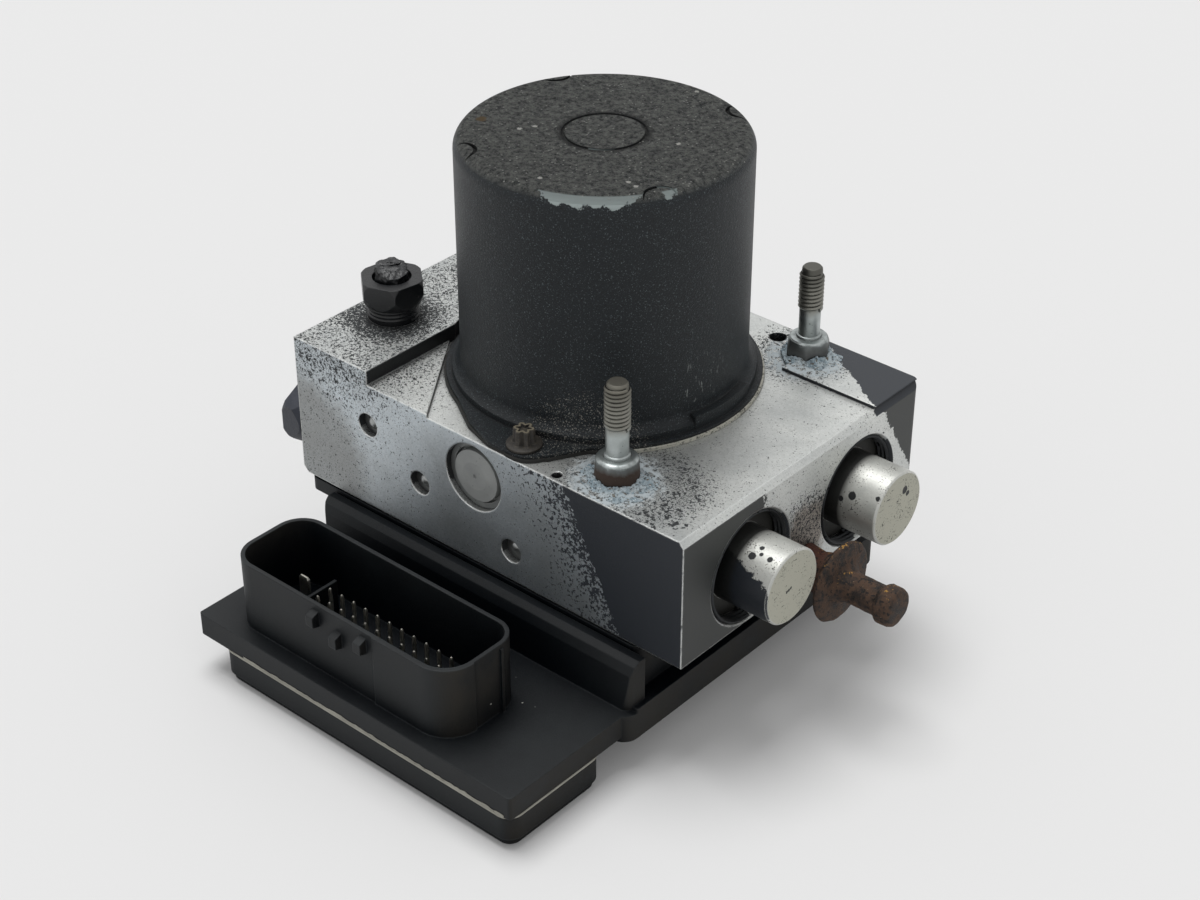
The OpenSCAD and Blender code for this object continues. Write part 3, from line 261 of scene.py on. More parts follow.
def textured_motor_paint():
    """Fine textured black-blue enamel on drawn steel: grimy on top, dusty at its foot, its rim chipped."""
    made, tree, shader, place = material("textured_motor_paint", Specular_IOR_Level=0.32)
    x, y, z = add(tree, "SeparateXYZ", {0: place}).node.outputs
    nz = add(tree, "SeparateXYZ", {0: add(tree, "TexCoord", out="Normal")}, out=2)
    rounded, edge = soft_edges(tree, 0.4)
    # The paint's own texture has grains of about a third of a millimetre
    grain = add(tree, "TexNoise", {"Vector": place, "Scale": 1 / 0.4, "Detail": 3.0, "Roughness": 0.6})
    lumps = add(tree, "TexNoise", {"Vector": place, "Scale": 1 / 1.3, "Detail": 8.0, "Roughness": 0.85})
    cloud = add(tree, "TexNoise", {"Vector": place, "Scale": 1 / 22, "Detail": 4.0})
    on_top = add(tree, "MapRange", {0: nz, 1: 0.55, 2: 0.9})
    crown = add(tree, "Math", {0: add(tree, "MapRange", {0: z, 1: 115.0, 2: 119.0}), 1: on_top},
                operation="MULTIPLY")
    muck = add(tree, "Math", {0: crown, 1: add(tree, "MapRange", {0: lumps, 1: 0.4, 2: 0.58})},
               operation="MULTIPLY")
    # The groove round the bearing seat, painted dark as its shade, and the flakes that lie on the top
    flat = add(tree, "VectorMath", {0: place, 1: (1.0, 1.0, 0.0)}, operation="MULTIPLY")
    far = add(tree, "VectorMath", {0: flat, 1: (0.0, 0.0, 0.0)}, out="Value", operation="DISTANCE")
    far = add(tree, "Math", {0: far, 1: 9.6}, operation="SUBTRACT")
    far = add(tree, "Math", {0: far}, operation="ABSOLUTE")
    far = add(tree, "Math", {0: lumps, 1: 1.6, 2: far}, operation="MULTIPLY_ADD")
    trough_shade = add(tree, "Math", {0: add(tree, "MapRange", {0: far, 1: 2.1, 2: 0.9, 4: 0.9}), 1: crown},
                 operation="MULTIPLY")
    white = 0.0
    for flake_x, flake_y in ((-14.8, -11.1), (-13.1, -8.0), (16.0, 5.7), (4.7, -25.9), (22.3, -15.7),
                             (19.8, -15.2), (1.9, 29.3)):
        away = add(tree, "VectorMath", {0: flat, 1: (flake_x, flake_y, 0.0)}, out="Value",
                   operation="DISTANCE")
        away = add(tree, "Math", {0: grain, 1: away})
        white = add(tree, "Math", {0: add(tree, "MapRange", {0: away, 1: 1.1, 2: 0.95}), 1: white},
                    operation="MAXIMUM")
    white = add(tree, "Math", {0: white, 1: crown}, operation="MULTIPLY")
    away = add(tree, "VectorMath", {0: flat, 1: (-24.5, -12.9, 0.0)}, out="Value", operation="DISTANCE")
    away = add(tree, "Math", {0: lumps, 1: 2.5, 2: away}, operation="MULTIPLY_ADD")
    brown = add(tree, "Math", {0: add(tree, "MapRange", {0: away, 1: 2.6, 2: 2.2}), 1: crown},
                operation="MULTIPLY")
    pits = add(tree, "Math", {0: crown, 1: pepper(tree, place, 0.7, 0.3)}, operation="MULTIPLY")
    # Painted glints: pale specks stand in for light caught by the enamel's texture
    painted_glints = pepper(tree, place, 0.3, 0.33)
    hollows = pepper(tree, add(tree, "VectorMath", {0: place, 1: (7.0, 3.0, 5.0)}), 0.5, 0.36)
    # Chips stand along the front of the rim, between two bearings from the motor's axis
    bearing = add(tree, "Math", {0: y, 1: x}, operation="ARCTAN2")
    wander = add(tree, "TexNoise", {"Vector": place, "Scale": 1 / 2.4, "Detail": 6.0, "Roughness": 0.75})
    rim = add(tree, "Math", {0: wander, 1: 5.0, 2: z}, operation="MULTIPLY_ADD")
    wide = add(tree, "Math", {0: add(tree, "Math", {0: bearing, 1: 0.96})}, operation="ABSOLUTE")
    wide = add(tree, "MapRange", {0: wide, 1: 0.52, 2: 0.2, 4: 3.2})
    small = add(tree, "Math", {0: add(tree, "Math", {0: bearing, 1: 0.41})}, operation="ABSOLUTE")
    small = add(tree, "MapRange", {0: small, 1: 0.09, 2: 0.04, 4: 2.6})
    rim = add(tree, "Math", {0: rim, 1: add(tree, "Math", {0: wide, 1: small}, operation="MAXIMUM")})
    chips = add(tree, "Math", {0: add(tree, "MapRange", {0: rim, 1: 124.4, 2: 124.55}),
                               1: add(tree, "MapRange", {0: z, 1: 120.42, 2: 120.3})}, operation="MULTIPLY")
    chips = add(tree, "Math", {0: chips, 1: add(tree, "MapRange", {0: y, 1: -4.0, 2: -8.0})},
                operation="MULTIPLY")
    # Dust lies thick on the foot behind the front stud, and in single grains everywhere
    drift = spot(tree, place, (20.0, -29.0, 60.0), 20.0)
    dust = add(tree, "Math", {0: drift, 1: 0.31, 2: 0.06}, operation="MULTIPLY_ADD")
    dust = pepper(tree, place, 0.33, dust)
    grit = add(tree, "Math", {0: crown, 1: 0.28, 2: 0.003}, operation="MULTIPLY_ADD")
    grit = specks(tree, place, 0.75, grit)
    flakes = specks(tree, place, 3.4, add(tree, "Math", {0: crown, 1: 0.035}, operation="MULTIPLY"))
    upright = add(tree, "VectorMath", {0: place, 1: (1.0, 1.0, 0.25)}, operation="MULTIPLY")
    scuffs = add(tree, "Math", {0: spot(tree, place, (31.0, -4.0, 73.0), 8.0),
                                1: pepper(tree, upright, 0.7, 0.32)}, operation="MULTIPLY")
    # Painted shade: near black where nearby surfaces close round the paint, in its crevices and at its foot
    open_sky = add(tree, "AmbientOcclusion", {"Distance": 4 * MM}, out="AO", samples=4)
    painted_shade = add(tree, "MapRange", {0: open_sky, 1: 0.75, 2: 0.4})
    worn = add(tree, "Math", {0: edge, 1: add(tree, "MapRange", {0: wander, 1: 0.5, 2: 0.7, 4: 0.35})},
               operation="MULTIPLY")
    paint = add(tree, "Mix", {0: cloud, 6: linear("0a1014"), 7: linear("151b1f")}, out=2, data_type="RGBA")
    colour = layered(tree, paint, [
        (hollows, "06080a"), (painted_glints, "586164"), (muck, "80827e"), (pits, "1c1e1e"), (trough_shade, "151616"),
        (painted_shade, "0c0d0e"), (worn, "5d6164"), (scuffs, "7d8180"), (chips, "99a3a2"), (dust, "918f88"),
        (grit, "b3b4ae"), (flakes, "d9dad6"), (white, "dcdcd6"), (brown, "6d5a3d")])
    rough = graded(tree, 0.48, [(crown, 0.8), (dust, 0.9), (chips, 0.6), (painted_shade, 0.7)])
    height = graded(tree, grain, [(crown, lumps), (chips, 0.1), (grit, 1.3), (flakes, 1.5)])
    bump = add(tree, "Bump", {"Height": height, "Strength": 0.9, "Distance": 0.22 * MM, "Normal": rounded})
    deep = add(tree, "Bump", {"Height": add(tree, "Math", {0: lumps, 1: crown}, operation="MULTIPLY"),
                              "Strength": 1.0, "Distance": 1.2 * MM, "Normal": bump})
    return wear(made, tree, shader, Base_Color=colour, Roughness=rough, Normal=deep)


def moulded_nylon(name, base, dusty):
    """Glass-filled black nylon, moulded: nearly black, scuffed paler on its edges, with fine dust."""
    made, tree, shader, place = material(name)
    nx, ny, nz = add(tree, "SeparateXYZ", {0: add(tree, "TexCoord", out="Normal")}).node.outputs
    rounded, edge = soft_edges(tree, 0.5)
    grain = add(tree, "TexNoise", {"Vector": place, "Scale": 1 / 0.35, "Detail": 3.0})
    cloud = add(tree, "TexNoise", {"Vector": place, "Scale": 1 / 14, "Detail": 6.0, "Roughness": 0.65})
    on_right = add(tree, "MapRange", {0: nx, 1: 0.3, 2: 0.8})
    on_top = add(tree, "MapRange", {0: nz, 1: 0.5, 2: 0.8})
    # Faces turned to +X get a paler, browner tone in cloudy patches, its strength set by dusty
    dry = add(tree, "Math", {0: on_right, 1: add(tree, "MapRange", {0: cloud, 1: 0.3, 2: 0.65, 4: dusty})},
              operation="MULTIPLY")
    dust = add(tree, "Math", {0: on_top, 1: 0.02, 2: 0.008}, operation="MULTIPLY_ADD")
    dust = specks(tree, place, 0.6, dust)
    clump = spot(tree, place, (34.0, -61.0, PLATE_TOP), 16.0)
    clump = specks(tree, place, 0.75, add(tree, "Math", {0: clump, 1: 0.05}, operation="MULTIPLY"))
    worn = add(tree, "Math", {0: edge, 1: add(tree, "MapRange", {0: cloud, 1: 0.35, 2: 0.7, 4: 0.5})},
               operation="MULTIPLY")
    smear = add(tree, "MapRange", {0: cloud, 1: 0.45, 2: 0.75, 4: 0.5})
    # Painted shade: a bluish near black wherever nearby parts close over the nylon, deepest under the block,
    # with its gloss dulled there
    open_sky = add(tree, "AmbientOcclusion", {"Distance": 22 * MM}, out="AO", samples=4)
    painted_shade = add(tree, "MapRange", {0: open_sky, 1: 0.85, 2: 0.35, 4: 0.97})
    gloss = graded(tree, 0.36, [(painted_shade, 0.03)])
    colour = layered(tree, linear(base), [
        (smear, "1a2022"), (dry, "2f2c27"), (painted_shade, "04070c"), (worn, "4a5052"), (dust, "b9b9b2"),
        (clump, "c6c6c0")])
    rough = graded(tree, 0.5, [(cloud, 0.62), (dry, 0.85), (worn, 0.5), (dust, 0.9)])
    bump = add(tree, "Bump", {"Height": grain, "Strength": 0.4, "Distance": 0.1 * MM, "Normal": rounded})
    return wear(made, tree, shader, Base_Color=colour, Roughness=rough, Specular_IOR_Level=gloss,
                Normal=bump)


def turned_alloy(name, centre, coated, dots):
    """Turned and cast aluminium caps: silver sides, a dry cream-grey end, black flecks and dots and, on the
    front one, the dark sealing coat along its lower left."""
    made, tree, shader, place = material(name)
    x = add(tree, "SeparateXYZ", {0: place})
    nx = add(tree, "SeparateXYZ", {0: add(tree, "TexCoord", out="Normal")})
    rounded, edge = soft_edges(tree, 0.35)
    grain = add(tree, "TexNoise", {"Vector": place, "Scale": 1 / 0.5, "Detail": 4.0, "Roughness": 0.7})
    cloud = add(tree, "TexNoise", {"Vector": place, "Scale": 1 / 4, "Detail": 6.0, "Roughness": 0.65})
    wander = add(tree, "TexNoise", {"Vector": place, "Scale": 1 / 1.1, "Detail": 6.0, "Roughness": 0.75})
    on_end = add(tree, "MapRange", {0: nx, 1: 0.85, 2: 0.97})
    # Tool marks run round the axis: the radius from it drives fine rings on the end face
    radial = add(tree, "VectorMath", {0: place, 1: (0.0, 1.0, 1.0)}, operation="MULTIPLY")
    radial = add(tree, "VectorMath", {0: radial, 1: (0.0, centre, CAP_Z)}, out="Value",
                 operation="DISTANCE")
    rings = add(tree, "Math", {0: radial, 1: 11.0}, operation="MULTIPLY")
    rings = add(tree, "Math", {0: rings}, operation="SINE")
    thick = add(tree, "MapRange", {0: cloud, 1: 0.4, 2: 0.62, 3: 0.22, 4: 0.42})
    flecks = pepper(tree, place, 1.2, 0.2)
    small = pepper(tree, place, 0.4, thick)
    for centre_of_dot, reach in dots:
        away = add(tree, "VectorMath", {0: place, 1: centre_of_dot}, out="Value", operation="DISTANCE")
        away = add(tree, "Math", {0: grain, 1: 0.5, 2: away}, operation="MULTIPLY_ADD")
        dot = add(tree, "MapRange", {0: away, 1: reach + 0.3, 2: reach + 0.15})
        flecks = add(tree, "Math", {0: flecks, 1: dot}, operation="MAXIMUM")
    drawn_out = add(tree, "VectorMath", {0: place, 1: (1.0, 0.3, 1.2)}, operation="MULTIPLY")
    dashes = pepper(tree, drawn_out, 0.7, 0.26)
    dashes = add(tree, "Math", {0: dashes, 1: on_end}, operation="MULTIPLY")
    # Painted shade: the cap is near black where it goes into the block, below x 60.6
    deep = add(tree, "MapRange", {0: x, 1: 60.6, 2: 59.2, 4: 0.96})
    colour = add(tree, "Mix", {0: cloud, 6: linear("a5a7a3"), 7: linear("dcdcd6")}, out=2, data_type="RGBA")
    colour = layered(tree, colour, [(on_end, "b5b4a6"), (small, "55554f"), (flecks, "17191b"),
                                    (dashes, "3a3a36")])
    bare = graded(tree, 0.6, [(on_end, 0.1), (small, 0.2), (flecks, 0.0), (dashes, 0.0)])
    rough = graded(tree, 0.4, [(on_end, 0.7), (flecks, 0.6)])
    if coated:
        low = add(tree, "VectorMath", {0: place, 1: COAT_SLOPE}, out="Value", operation="DOT_PRODUCT")
        start = COAT_SLOPE[0] * RIGHT_X + COAT_SLOPE[1] * centre + COAT_SLOPE[2] * CAP_Z
        low = add(tree, "Math", {0: wander, 1: 4.0, 2: low}, operation="MULTIPLY_ADD")
        coat = add(tree, "MapRange", {0: low, 1: start + 7.1, 2: start + 7.35})
        on_side = add(tree, "Math", {0: 1.0, 1: on_end}, operation="SUBTRACT")
        coat = add(tree, "Math", {0: coat, 1: on_side}, operation="MULTIPLY")
        colour = layered(tree, colour, [(coat, "161b22")])
        bare = graded(tree, bare, [(coat, 0.1)])
    # Painted highlight: every edge of the cap is pale
    colour = layered(tree, colour, [(deep, "0f1010"), (edge, "d2d3cf")])
    bare = graded(tree, bare, [(deep, 0.0)])
    height = add(tree, "Math", {0: rings, 1: 0.06, 2: grain}, operation="MULTIPLY_ADD")
    bump = add(tree, "Bump", {"Height": height, "Strength": 0.5, "Distance": 0.12 * MM, "Normal": rounded})
    return wear(made, tree, shader, Base_Color=colour, Metallic=bare, Roughness=rough, Normal=bump)


def worked_metal(name, light, dark, stain, stained, roughness, grain_size=0.6):
    """A turned or drawn metal part: two tones of its own colour, stained in flecks, bright on its edges."""
    made, tree, shader, place = material(name, Metallic=1.0)
    rounded, edge = soft_edges(tree, 0.25)
    grain = add(tree, "TexNoise", {"Vector": place, "Scale": 1 / grain_size, "Detail": 4.0,
                                   "Roughness": 0.65})
    cloud = add(tree, "TexNoise", {"Vector": place, "Scale": 1 / 4, "Detail": 5.0})
    stains = pepper(tree, place, 1.2, stained)
    colour = add(tree, "Mix", {0: cloud, 6: linear(dark), 7: linear(light)}, out=2, data_type="RGBA")
    bright = add(tree, "Math", {0: edge, 1: 0.6}, operation="MULTIPLY")
    colour = layered(tree, colour, [(stains, stain), (bright, light)])
    rough = graded(tree, roughness, [(grain, roughness + 0.15), (stains, 0.8)])
    bump = add(tree, "Bump", {"Height": grain, "Strength": 0.3, "Distance": 0.06 * MM, "Normal": rounded})
    return wear(made, tree, shader, Base_Color=colour, Roughness=rough, Normal=bump)


def zinc_plated_steel(name, foot, rusty):
    """Zinc-plated steel: silver-blue shank, a greyer thread above it with a dirty tip and its grooves
    painted near black as shade, rusty collar at the foot.
    """
    made, tree, shader, place = material(name, Metallic=1.0)
    z = add(tree, "SeparateXYZ", {0: place}, out=2)
    rounded = soft_edges(tree, 0.2)[0]
    grain = add(tree, "TexNoise", {"Vector": place, "Scale": 1 / 0.5, "Detail": 5.0, "Roughness": 0.7})
    wander = add(tree, "TexNoise", {"Vector": place, "Scale": 1 / 2.5, "Detail": 5.0})
    up = add(tree, "Math", {0: wander, 1: 3.0, 2: z}, operation="MULTIPLY_ADD")
    threaded = add(tree, "MapRange", {0: up, 1: foot + 12.6, 2: foot + 15.0, 4: 0.9})
    tip = add(tree, "MapRange", {0: up, 1: foot + 19.0, 2: foot + 24.0, 4: 0.6})
    collar = add(tree, "MapRange", {0: up, 1: foot + 6.8, 2: foot + 6.0, 4: 0.7})
    low = add(tree, "MapRange", {0: up, 1: foot + 6.2, 2: foot + 4.4, 4: rusty})
    # Painted shade: near black in the thread's grooves and the other hollows
    open_sky = add(tree, "AmbientOcclusion", {"Distance": 1.0 * MM}, out="AO", samples=4)
    groove_shade = add(tree, "MapRange", {0: open_sky, 1: 0.82, 2: 0.5})
    colour = add(tree, "Mix", {0: wander, 6: linear("8f9694"), 7: linear("c0c6c6")}, out=2, data_type="RGBA")
    tip_tone = "57534a" if rusty > 0.5 else "191817"
    colour = layered(tree, colour, [(threaded, "8a887f"), (tip, tip_tone), (collar, "4c4f50"),
                                    (low, "3d2a1e"), (pepper(tree, place, 0.7, 0.25), "55564f"),
                                    (groove_shade, "121110")])
    rough = graded(tree, 0.32, [(grain, 0.45), (threaded, 0.5), (collar, 0.5), (low, 0.8)])
    bare = graded(tree, 1.0, [(low, 0.3), (groove_shade, 0.3)])
    bump = add(tree, "Bump", {"Height": grain, "Strength": 0.35, "Distance": 0.08 * MM, "Normal": rounded})
    return wear(made, tree, shader, Base_Color=colour, Metallic=bare, Roughness=rough, Normal=bump)


def dusty_screw_steel():
    """Oiled screw steel under brown dust, its star rubbed pale along the top."""
    made, tree, shader, place = material("dusty_screw_steel", Roughness=0.6)
    z = add(tree, "SeparateXYZ", {0: place}, out=2)
    nz = add(tree, "SeparateXYZ", {0: add(tree, "TexCoord", out="Normal")}, out=2)
    rounded, edge = soft_edges(tree, 0.2)
    grain = add(tree, "TexNoise", {"Vector": place, "Scale": 1 / 0.7, "Detail": 6.0, "Roughness": 0.7})
    top = add(tree, "Math", {0: add(tree, "MapRange", {0: z, 1: 66.3, 2: 66.7}),
                             1: add(tree, "MapRange", {0: nz, 1: 0.5, 2: 0.8})}, operation="MULTIPLY")
    # Painted shade: near black in the corners round the head
    open_sky = add(tree, "AmbientOcclusion", {"Distance": 1.5 * MM}, out="AO", samples=4)
    corner = add(tree, "MapRange", {0: open_sky, 1: 0.75, 2: 0.35})
    rubbed = add(tree, "Math", {0: edge, 1: 0.3}, operation="MULTIPLY")
    dust = add(tree, "MapRange", {0: grain, 1: 0.4, 2: 0.65})
    colour = layered(tree, linear("1f1c18"), [(dust, "38332c"), (rubbed, "766e5e"), (top, "6f6858"),
                                              (corner, "0b0a09")])
    bump = add(tree, "Bump", {"Height": grain, "Strength": 0.5, "Distance": 0.12 * MM, "Normal": rounded})
    return wear(made, tree, shader, Base_Color=colour, Normal=bump)


def fibre_gasket():
    """Fibre gasket: pale on its side towards +X, black round the rest."""
    made, tree, shader, place = material("fibre_gasket", Roughness=0.85)
    grain = add(tree, "TexNoise", {"Vector": place, "Scale": 1 / 0.8, "Detail": 5.0, "Roughness": 0.7})
    pale_side = add(tree, "VectorMath", {0: place, 1: (0.9, 0.45, 0.0)}, out="Value", operation="DOT_PRODUCT")
    pale_side = add(tree, "MapRange", {0: pale_side, 1: 8.0, 2: 16.0})
    pale_side = add(tree, "Math", {0: pale_side, 1: add(tree, "MapRange", {0: grain, 1: 0.35, 2: 0.5})},
                operation="MULTIPLY")
    colour = layered(tree, linear("222220"), [(pale_side, "bdbbb0")])
    bump = add(tree, "Bump", {"Height": grain, "Strength": 0.4, "Distance": 0.1 * MM})
    return wear(made, tree, shader, Base_Color=colour, Normal=bump)


def rusty_steel():
    """Bare forged steel left to rust: near-black scale, red-brown rust and loose yellow rust on top."""
    made, tree, shader, place = material("rusty_steel")
    x = add(tree, "SeparateXYZ", {0: place})
    nz = add(tree, "SeparateXYZ", {0: add(tree, "TexCoord", out="Normal")}, out=2)
    grain = add(tree, "TexNoise", {"Vector": place, "Scale": 1 / 0.6, "Detail": 6.0, "Roughness": 0.75})
    lumps = add(tree, "TexNoise", {"Vector": place, "Scale": 1 / 2.2, "Detail": 6.0, "Roughness": 0.7})
    red = add(tree, "MapRange", {0: lumps, 1: 0.4, 2: 0.56})
    near = add(tree, "MapRange", {0: x, 1: 66.5, 2: 63.0, 4: 0.8})
    upward = add(tree, "MapRange", {0: nz, 1: -0.1, 2: 0.9, 3: 0.14, 4: 0.46})
    patchy = add(tree, "TexNoise", {"Vector": place, "Scale": 1 / 5, "Detail": 3.0})
    upward = add(tree, "Math", {0: upward, 1: add(tree, "MapRange", {0: patchy, 1: 0.42, 2: 0.6, 3: 0.2})},
                 operation="MULTIPLY")
    loose = pepper(tree, place, 0.7, upward)
    pits = pepper(tree, place, 0.9, 0.4)
    colour = layered(tree, linear("241d19"), [(red, "4a3628"), (near, "50291e"), (loose, "a07a3e"),
                                              (pits, "100e0d"), (pepper(tree, place, 0.5, 0.24), "73604c")])
    bare = graded(tree, 0.35, [(red, 0.0), (loose, 0.0)])
    rough = graded(tree, 0.62, [(red, 0.85), (loose, 0.95)])
    height = add(tree, "Math", {0: lumps, 1: 1.5, 2: grain}, operation="MULTIPLY_ADD")
    bump = add(tree, "Bump", {"Height": height, "Strength": 0.8, "Distance": 0.25 * MM})
    return wear(made, tree, shader, Base_Color=colour, Metallic=bare, Roughness=rough, Normal=bump)


def coated_steel(name, base, sheen, dusty):
    """Steel with a glossy black or blue-black coating, dusty in patches and rubbed on its edges."""
    made, tree, shader, place = material(name)
    rounded, edge = soft_edges(tree, 0.35)
    grain = add(tree, "TexNoise", {"Vector": place, "Scale": 1 / 0.8, "Detail": 6.0, "Roughness": 0.7})
    cloud = add(tree, "TexNoise", {"Vector": place, "Scale": 1 / 4, "Detail": 4.0})
    dust = add(tree, "Math", {0: cloud, 1: 0.25, 2: dusty}, operation="MULTIPLY_ADD")
    dust = pepper(tree, place, 0.7, dust)
    worn = add(tree, "Math", {0: edge, 1: 0.5}, operation="MULTIPLY")
    colour = layered(tree, linear(base), [(cloud, sheen), (worn, "4a4d50"), (dust, "5c5a54")])
    rough = graded(tree, 0.25, [(cloud, 0.45), (dust, 0.9)])
    bump = add(tree, "Bump", {"Height": grain, "Strength": 0.5, "Distance": 0.2 * MM, "Normal": rounded})
    return wear(made, tree, shader, Base_Color=colour, Roughness=rough, Normal=bump)


def dull_stuff(name, base, shade, roughness, grain_size=0.8, bump_height=0.08):
    """Rubber, moulded plastic, carbon or lacquered board: two tones, matt, with a fine grain."""
    made, tree, shader, place = material(name)
    rounded = soft_edges(tree, 0.25)[0]
    grain = add(tree, "TexNoise", {"Vector": place, "Scale": 1 / grain_size, "Detail": 4.0})
    cloud = add(tree, "TexNoise", {"Vector": place, "Scale": 1 / 6, "Detail": 5.0})
    colour = layered(tree, linear(base), [(cloud, shade), (pepper(tree, place, 0.8, 0.25), shade)])
    rough = graded(tree, roughness, [(grain, min(1.0, roughness + 0.15))])
    bump = add(tree, "Bump", {"Height": grain, "Strength": 0.4, "Distance": bump_height * MM,
                              "Normal": rounded})
    return wear(made, tree, shader, Base_Color=colour, Roughness=rough, Normal=bump)


def corrosion_salt():
    """White rust of zinc and aluminium: a chalky blue-white crust of fine grains, dark in its hollows."""
    made, tree, shader, place = material("corrosion_salt", Roughness=0.95)
    grain = add(tree, "TexNoise", {"Vector": place, "Scale": 1 / 0.7, "Detail": 6.0, "Roughness": 0.75})
    cloud = add(tree, "TexNoise", {"Vector": place, "Scale": 1 / 2.5, "Detail": 4.0})
    dark = add(tree, "MapRange", {0: grain, 1: 0.48, 2: 0.38})
    grey = add(tree, "MapRange", {0: cloud, 1: 0.4, 2: 0.62})
    colour = layered(tree, linear("b9c4c9"), [
        (grey, "8fa0a9"), (pepper(tree, place, 1.2, 0.36), "6d675d"), (dark, "3a3b3a"),
        (pepper(tree, place, 0.5, 0.3), "dfe3e2")])
    bump = add(tree, "Bump", {"Height": grain, "Strength": 0.9, "Distance": 0.3 * MM})
    return wear(made, tree, shader, Base_Color=colour, Normal=bump)


# Modelling

def clear():
    """Nothing selected, in object mode."""
    if bpy.context.object and bpy.context.object.mode != "OBJECT":
        bpy.ops.object.mode_set(mode="OBJECT")
    bpy.ops.object.select_all(action="DESELECT")


def alone(piece):
    """One piece selected and active, in object mode."""
    clear()
    bpy.context.view_layer.objects.active = piece
    piece.select_set(True)


def edit(piece):
    """Edit mode on one piece, with nothing selected in it."""
    alone(piece)
    bpy.ops.object.mode_set(mode="EDIT")
    bpy.ops.mesh.select_mode(type="FACE")
    bpy.ops.mesh.select_all(action="DESELECT")


def pick(piece, wanted):
    """Selects the faces whose centre and normal pass the test."""
    bpy.ops.object.mode_set(mode="OBJECT")
    for face in piece.data.polygons:
        face.select = wanted(face.center / MM, face.normal)
    for edge in piece.data.edges:
        edge.select = False
    bpy.ops.object.mode_set(mode="EDIT")


def settle(piece, body, finish, sharp=35):
    """Ends a piece: place in its mesh, normals out, edges over the angle sharp, its finish and its body."""
    alone(piece)
    bpy.ops.object.transform_apply(location=True, rotation=True, scale=True)
    bpy.ops.object.mode_set(mode="EDIT")
    bpy.ops.mesh.select_all(action="SELECT")
    bpy.ops.mesh.remove_doubles(threshold=0.002 * MM)
    bpy.ops.mesh.normals_make_consistent(inside=False)
    bpy.ops.object.mode_set(mode="OBJECT")
    bpy.ops.object.shade_smooth_by_angle(angle=math.radians(sharp))
    piece.data.materials.clear()
    piece.data.materials.append(finish)
    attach(piece, body)
    return piece


def turned(name, at, outline, sides=64, ring=None):
    """A turned part on +Z: a disc drawn up through each (height, radius), in rings of that height if any."""
    clear()
    height, radius = outline[0]
    bpy.ops.mesh.primitive_circle_add(vertices=sides, radius=radius * MM, fill_type="NGON",
                                      location=Vector((0, 0, height)) * MM)
    piece = bpy.context.object
    piece.name = name
    bpy.ops.object.transform_apply(location=True)
    bpy.ops.object.mode_set(mode="EDIT")
    for next_height, next_radius in outline[1:]:
        parts = max(1, round(abs(next_height - height) / ring)) if ring else 1
        for step in range(1, parts + 1):
            to_radius = radius + (next_radius - radius) / (parts - step + 1)
            bpy.ops.mesh.extrude_region_move(
                TRANSFORM_OT_translate={"value": (0, 0, (next_height - height) / parts * MM)})
            grow = to_radius / radius
            bpy.ops.transform.resize(value=(grow, grow, 1), center_override=(0, 0, 0))
            radius = to_radius
        height = next_height
    bpy.ops.object.mode_set(mode="OBJECT")
    piece.location = Vector(at) * MM
    return piece


def thread(name, at, length, root, crest, pitch, sides=48):
    """One helical ridge round +Z: a small diamond screwed up its axis, its two ends closed."""
    clear()
    middle, half = (root + crest) / 2, abs(crest - root) / 2
    bpy.ops.mesh.primitive_circle_add(vertices=4, radius=half * MM, fill_type="NOTHING",
                                      rotation=(math.radians(90), 0, 0))
    ridge = bpy.context.object
    ridge.name = name
    bpy.ops.object.transform_apply(rotation=True)
    edit(ridge)
    bpy.ops.mesh.select_all(action="SELECT")
    bpy.ops.transform.resize(value=(1, 1, 0.46 * pitch / half))
    bpy.ops.transform.translate(value=(middle * MM, 0, 0))
    bpy.ops.object.mode_set(mode="OBJECT")
    screw = ridge.modifiers.new("screw", "SCREW")
    screw.axis = "Z"
    screw.angle = math.tau
    screw.screw_offset = pitch * MM
    screw.iterations = round(length / pitch)
    screw.steps = screw.render_steps = sides
    bpy.ops.object.modifier_apply(modifier="screw")
    edit(ridge)
    bpy.ops.mesh.select_all(action="SELECT")
    bpy.ops.mesh.fill_holes(sides=4)
    bpy.ops.object.mode_set(mode="OBJECT")
    ridge.location = Vector(at) * MM
    return ridge


def roughen(piece, name, size, depth, outward=0.0, direction="NORMAL"):
    """Lumps of that size and depth in a surface, in millimetres; outward is the share that stands out."""
    lumps = bpy.data.textures.new(name, "CLOUDS")
    lumps.noise_scale = size * MM
    lumps.noise_depth = 3
    alone(piece)
    bpy.ops.object.transform_apply(location=True, rotation=True, scale=True)
    push = piece.modifiers.new("push", "DISPLACE")
    push.texture = lumps
    push.texture_coords = "LOCAL"
    push.direction = direction
    push.strength = depth * MM
    push.mid_level = 1.0 - outward
    bpy.ops.object.modifier_apply(modifier="push")


def joined(name, pieces):
    """Several meshes as one piece."""
    clear()
    for piece in pieces:
        piece.select_set(True)
    bpy.context.view_layer.objects.active = pieces[0]
    bpy.ops.object.join()
    pieces[0].name = name
    return pieces[0]


def copied(piece, move):
    """A copy with its own mesh, moved by some millimetres."""
    alone(piece)
    bpy.ops.object.duplicate(linked=False)
    twin = bpy.context.object
    twin.location = twin.location + Vector(move) * MM
    return twin


# Finishes of the CAD nodes

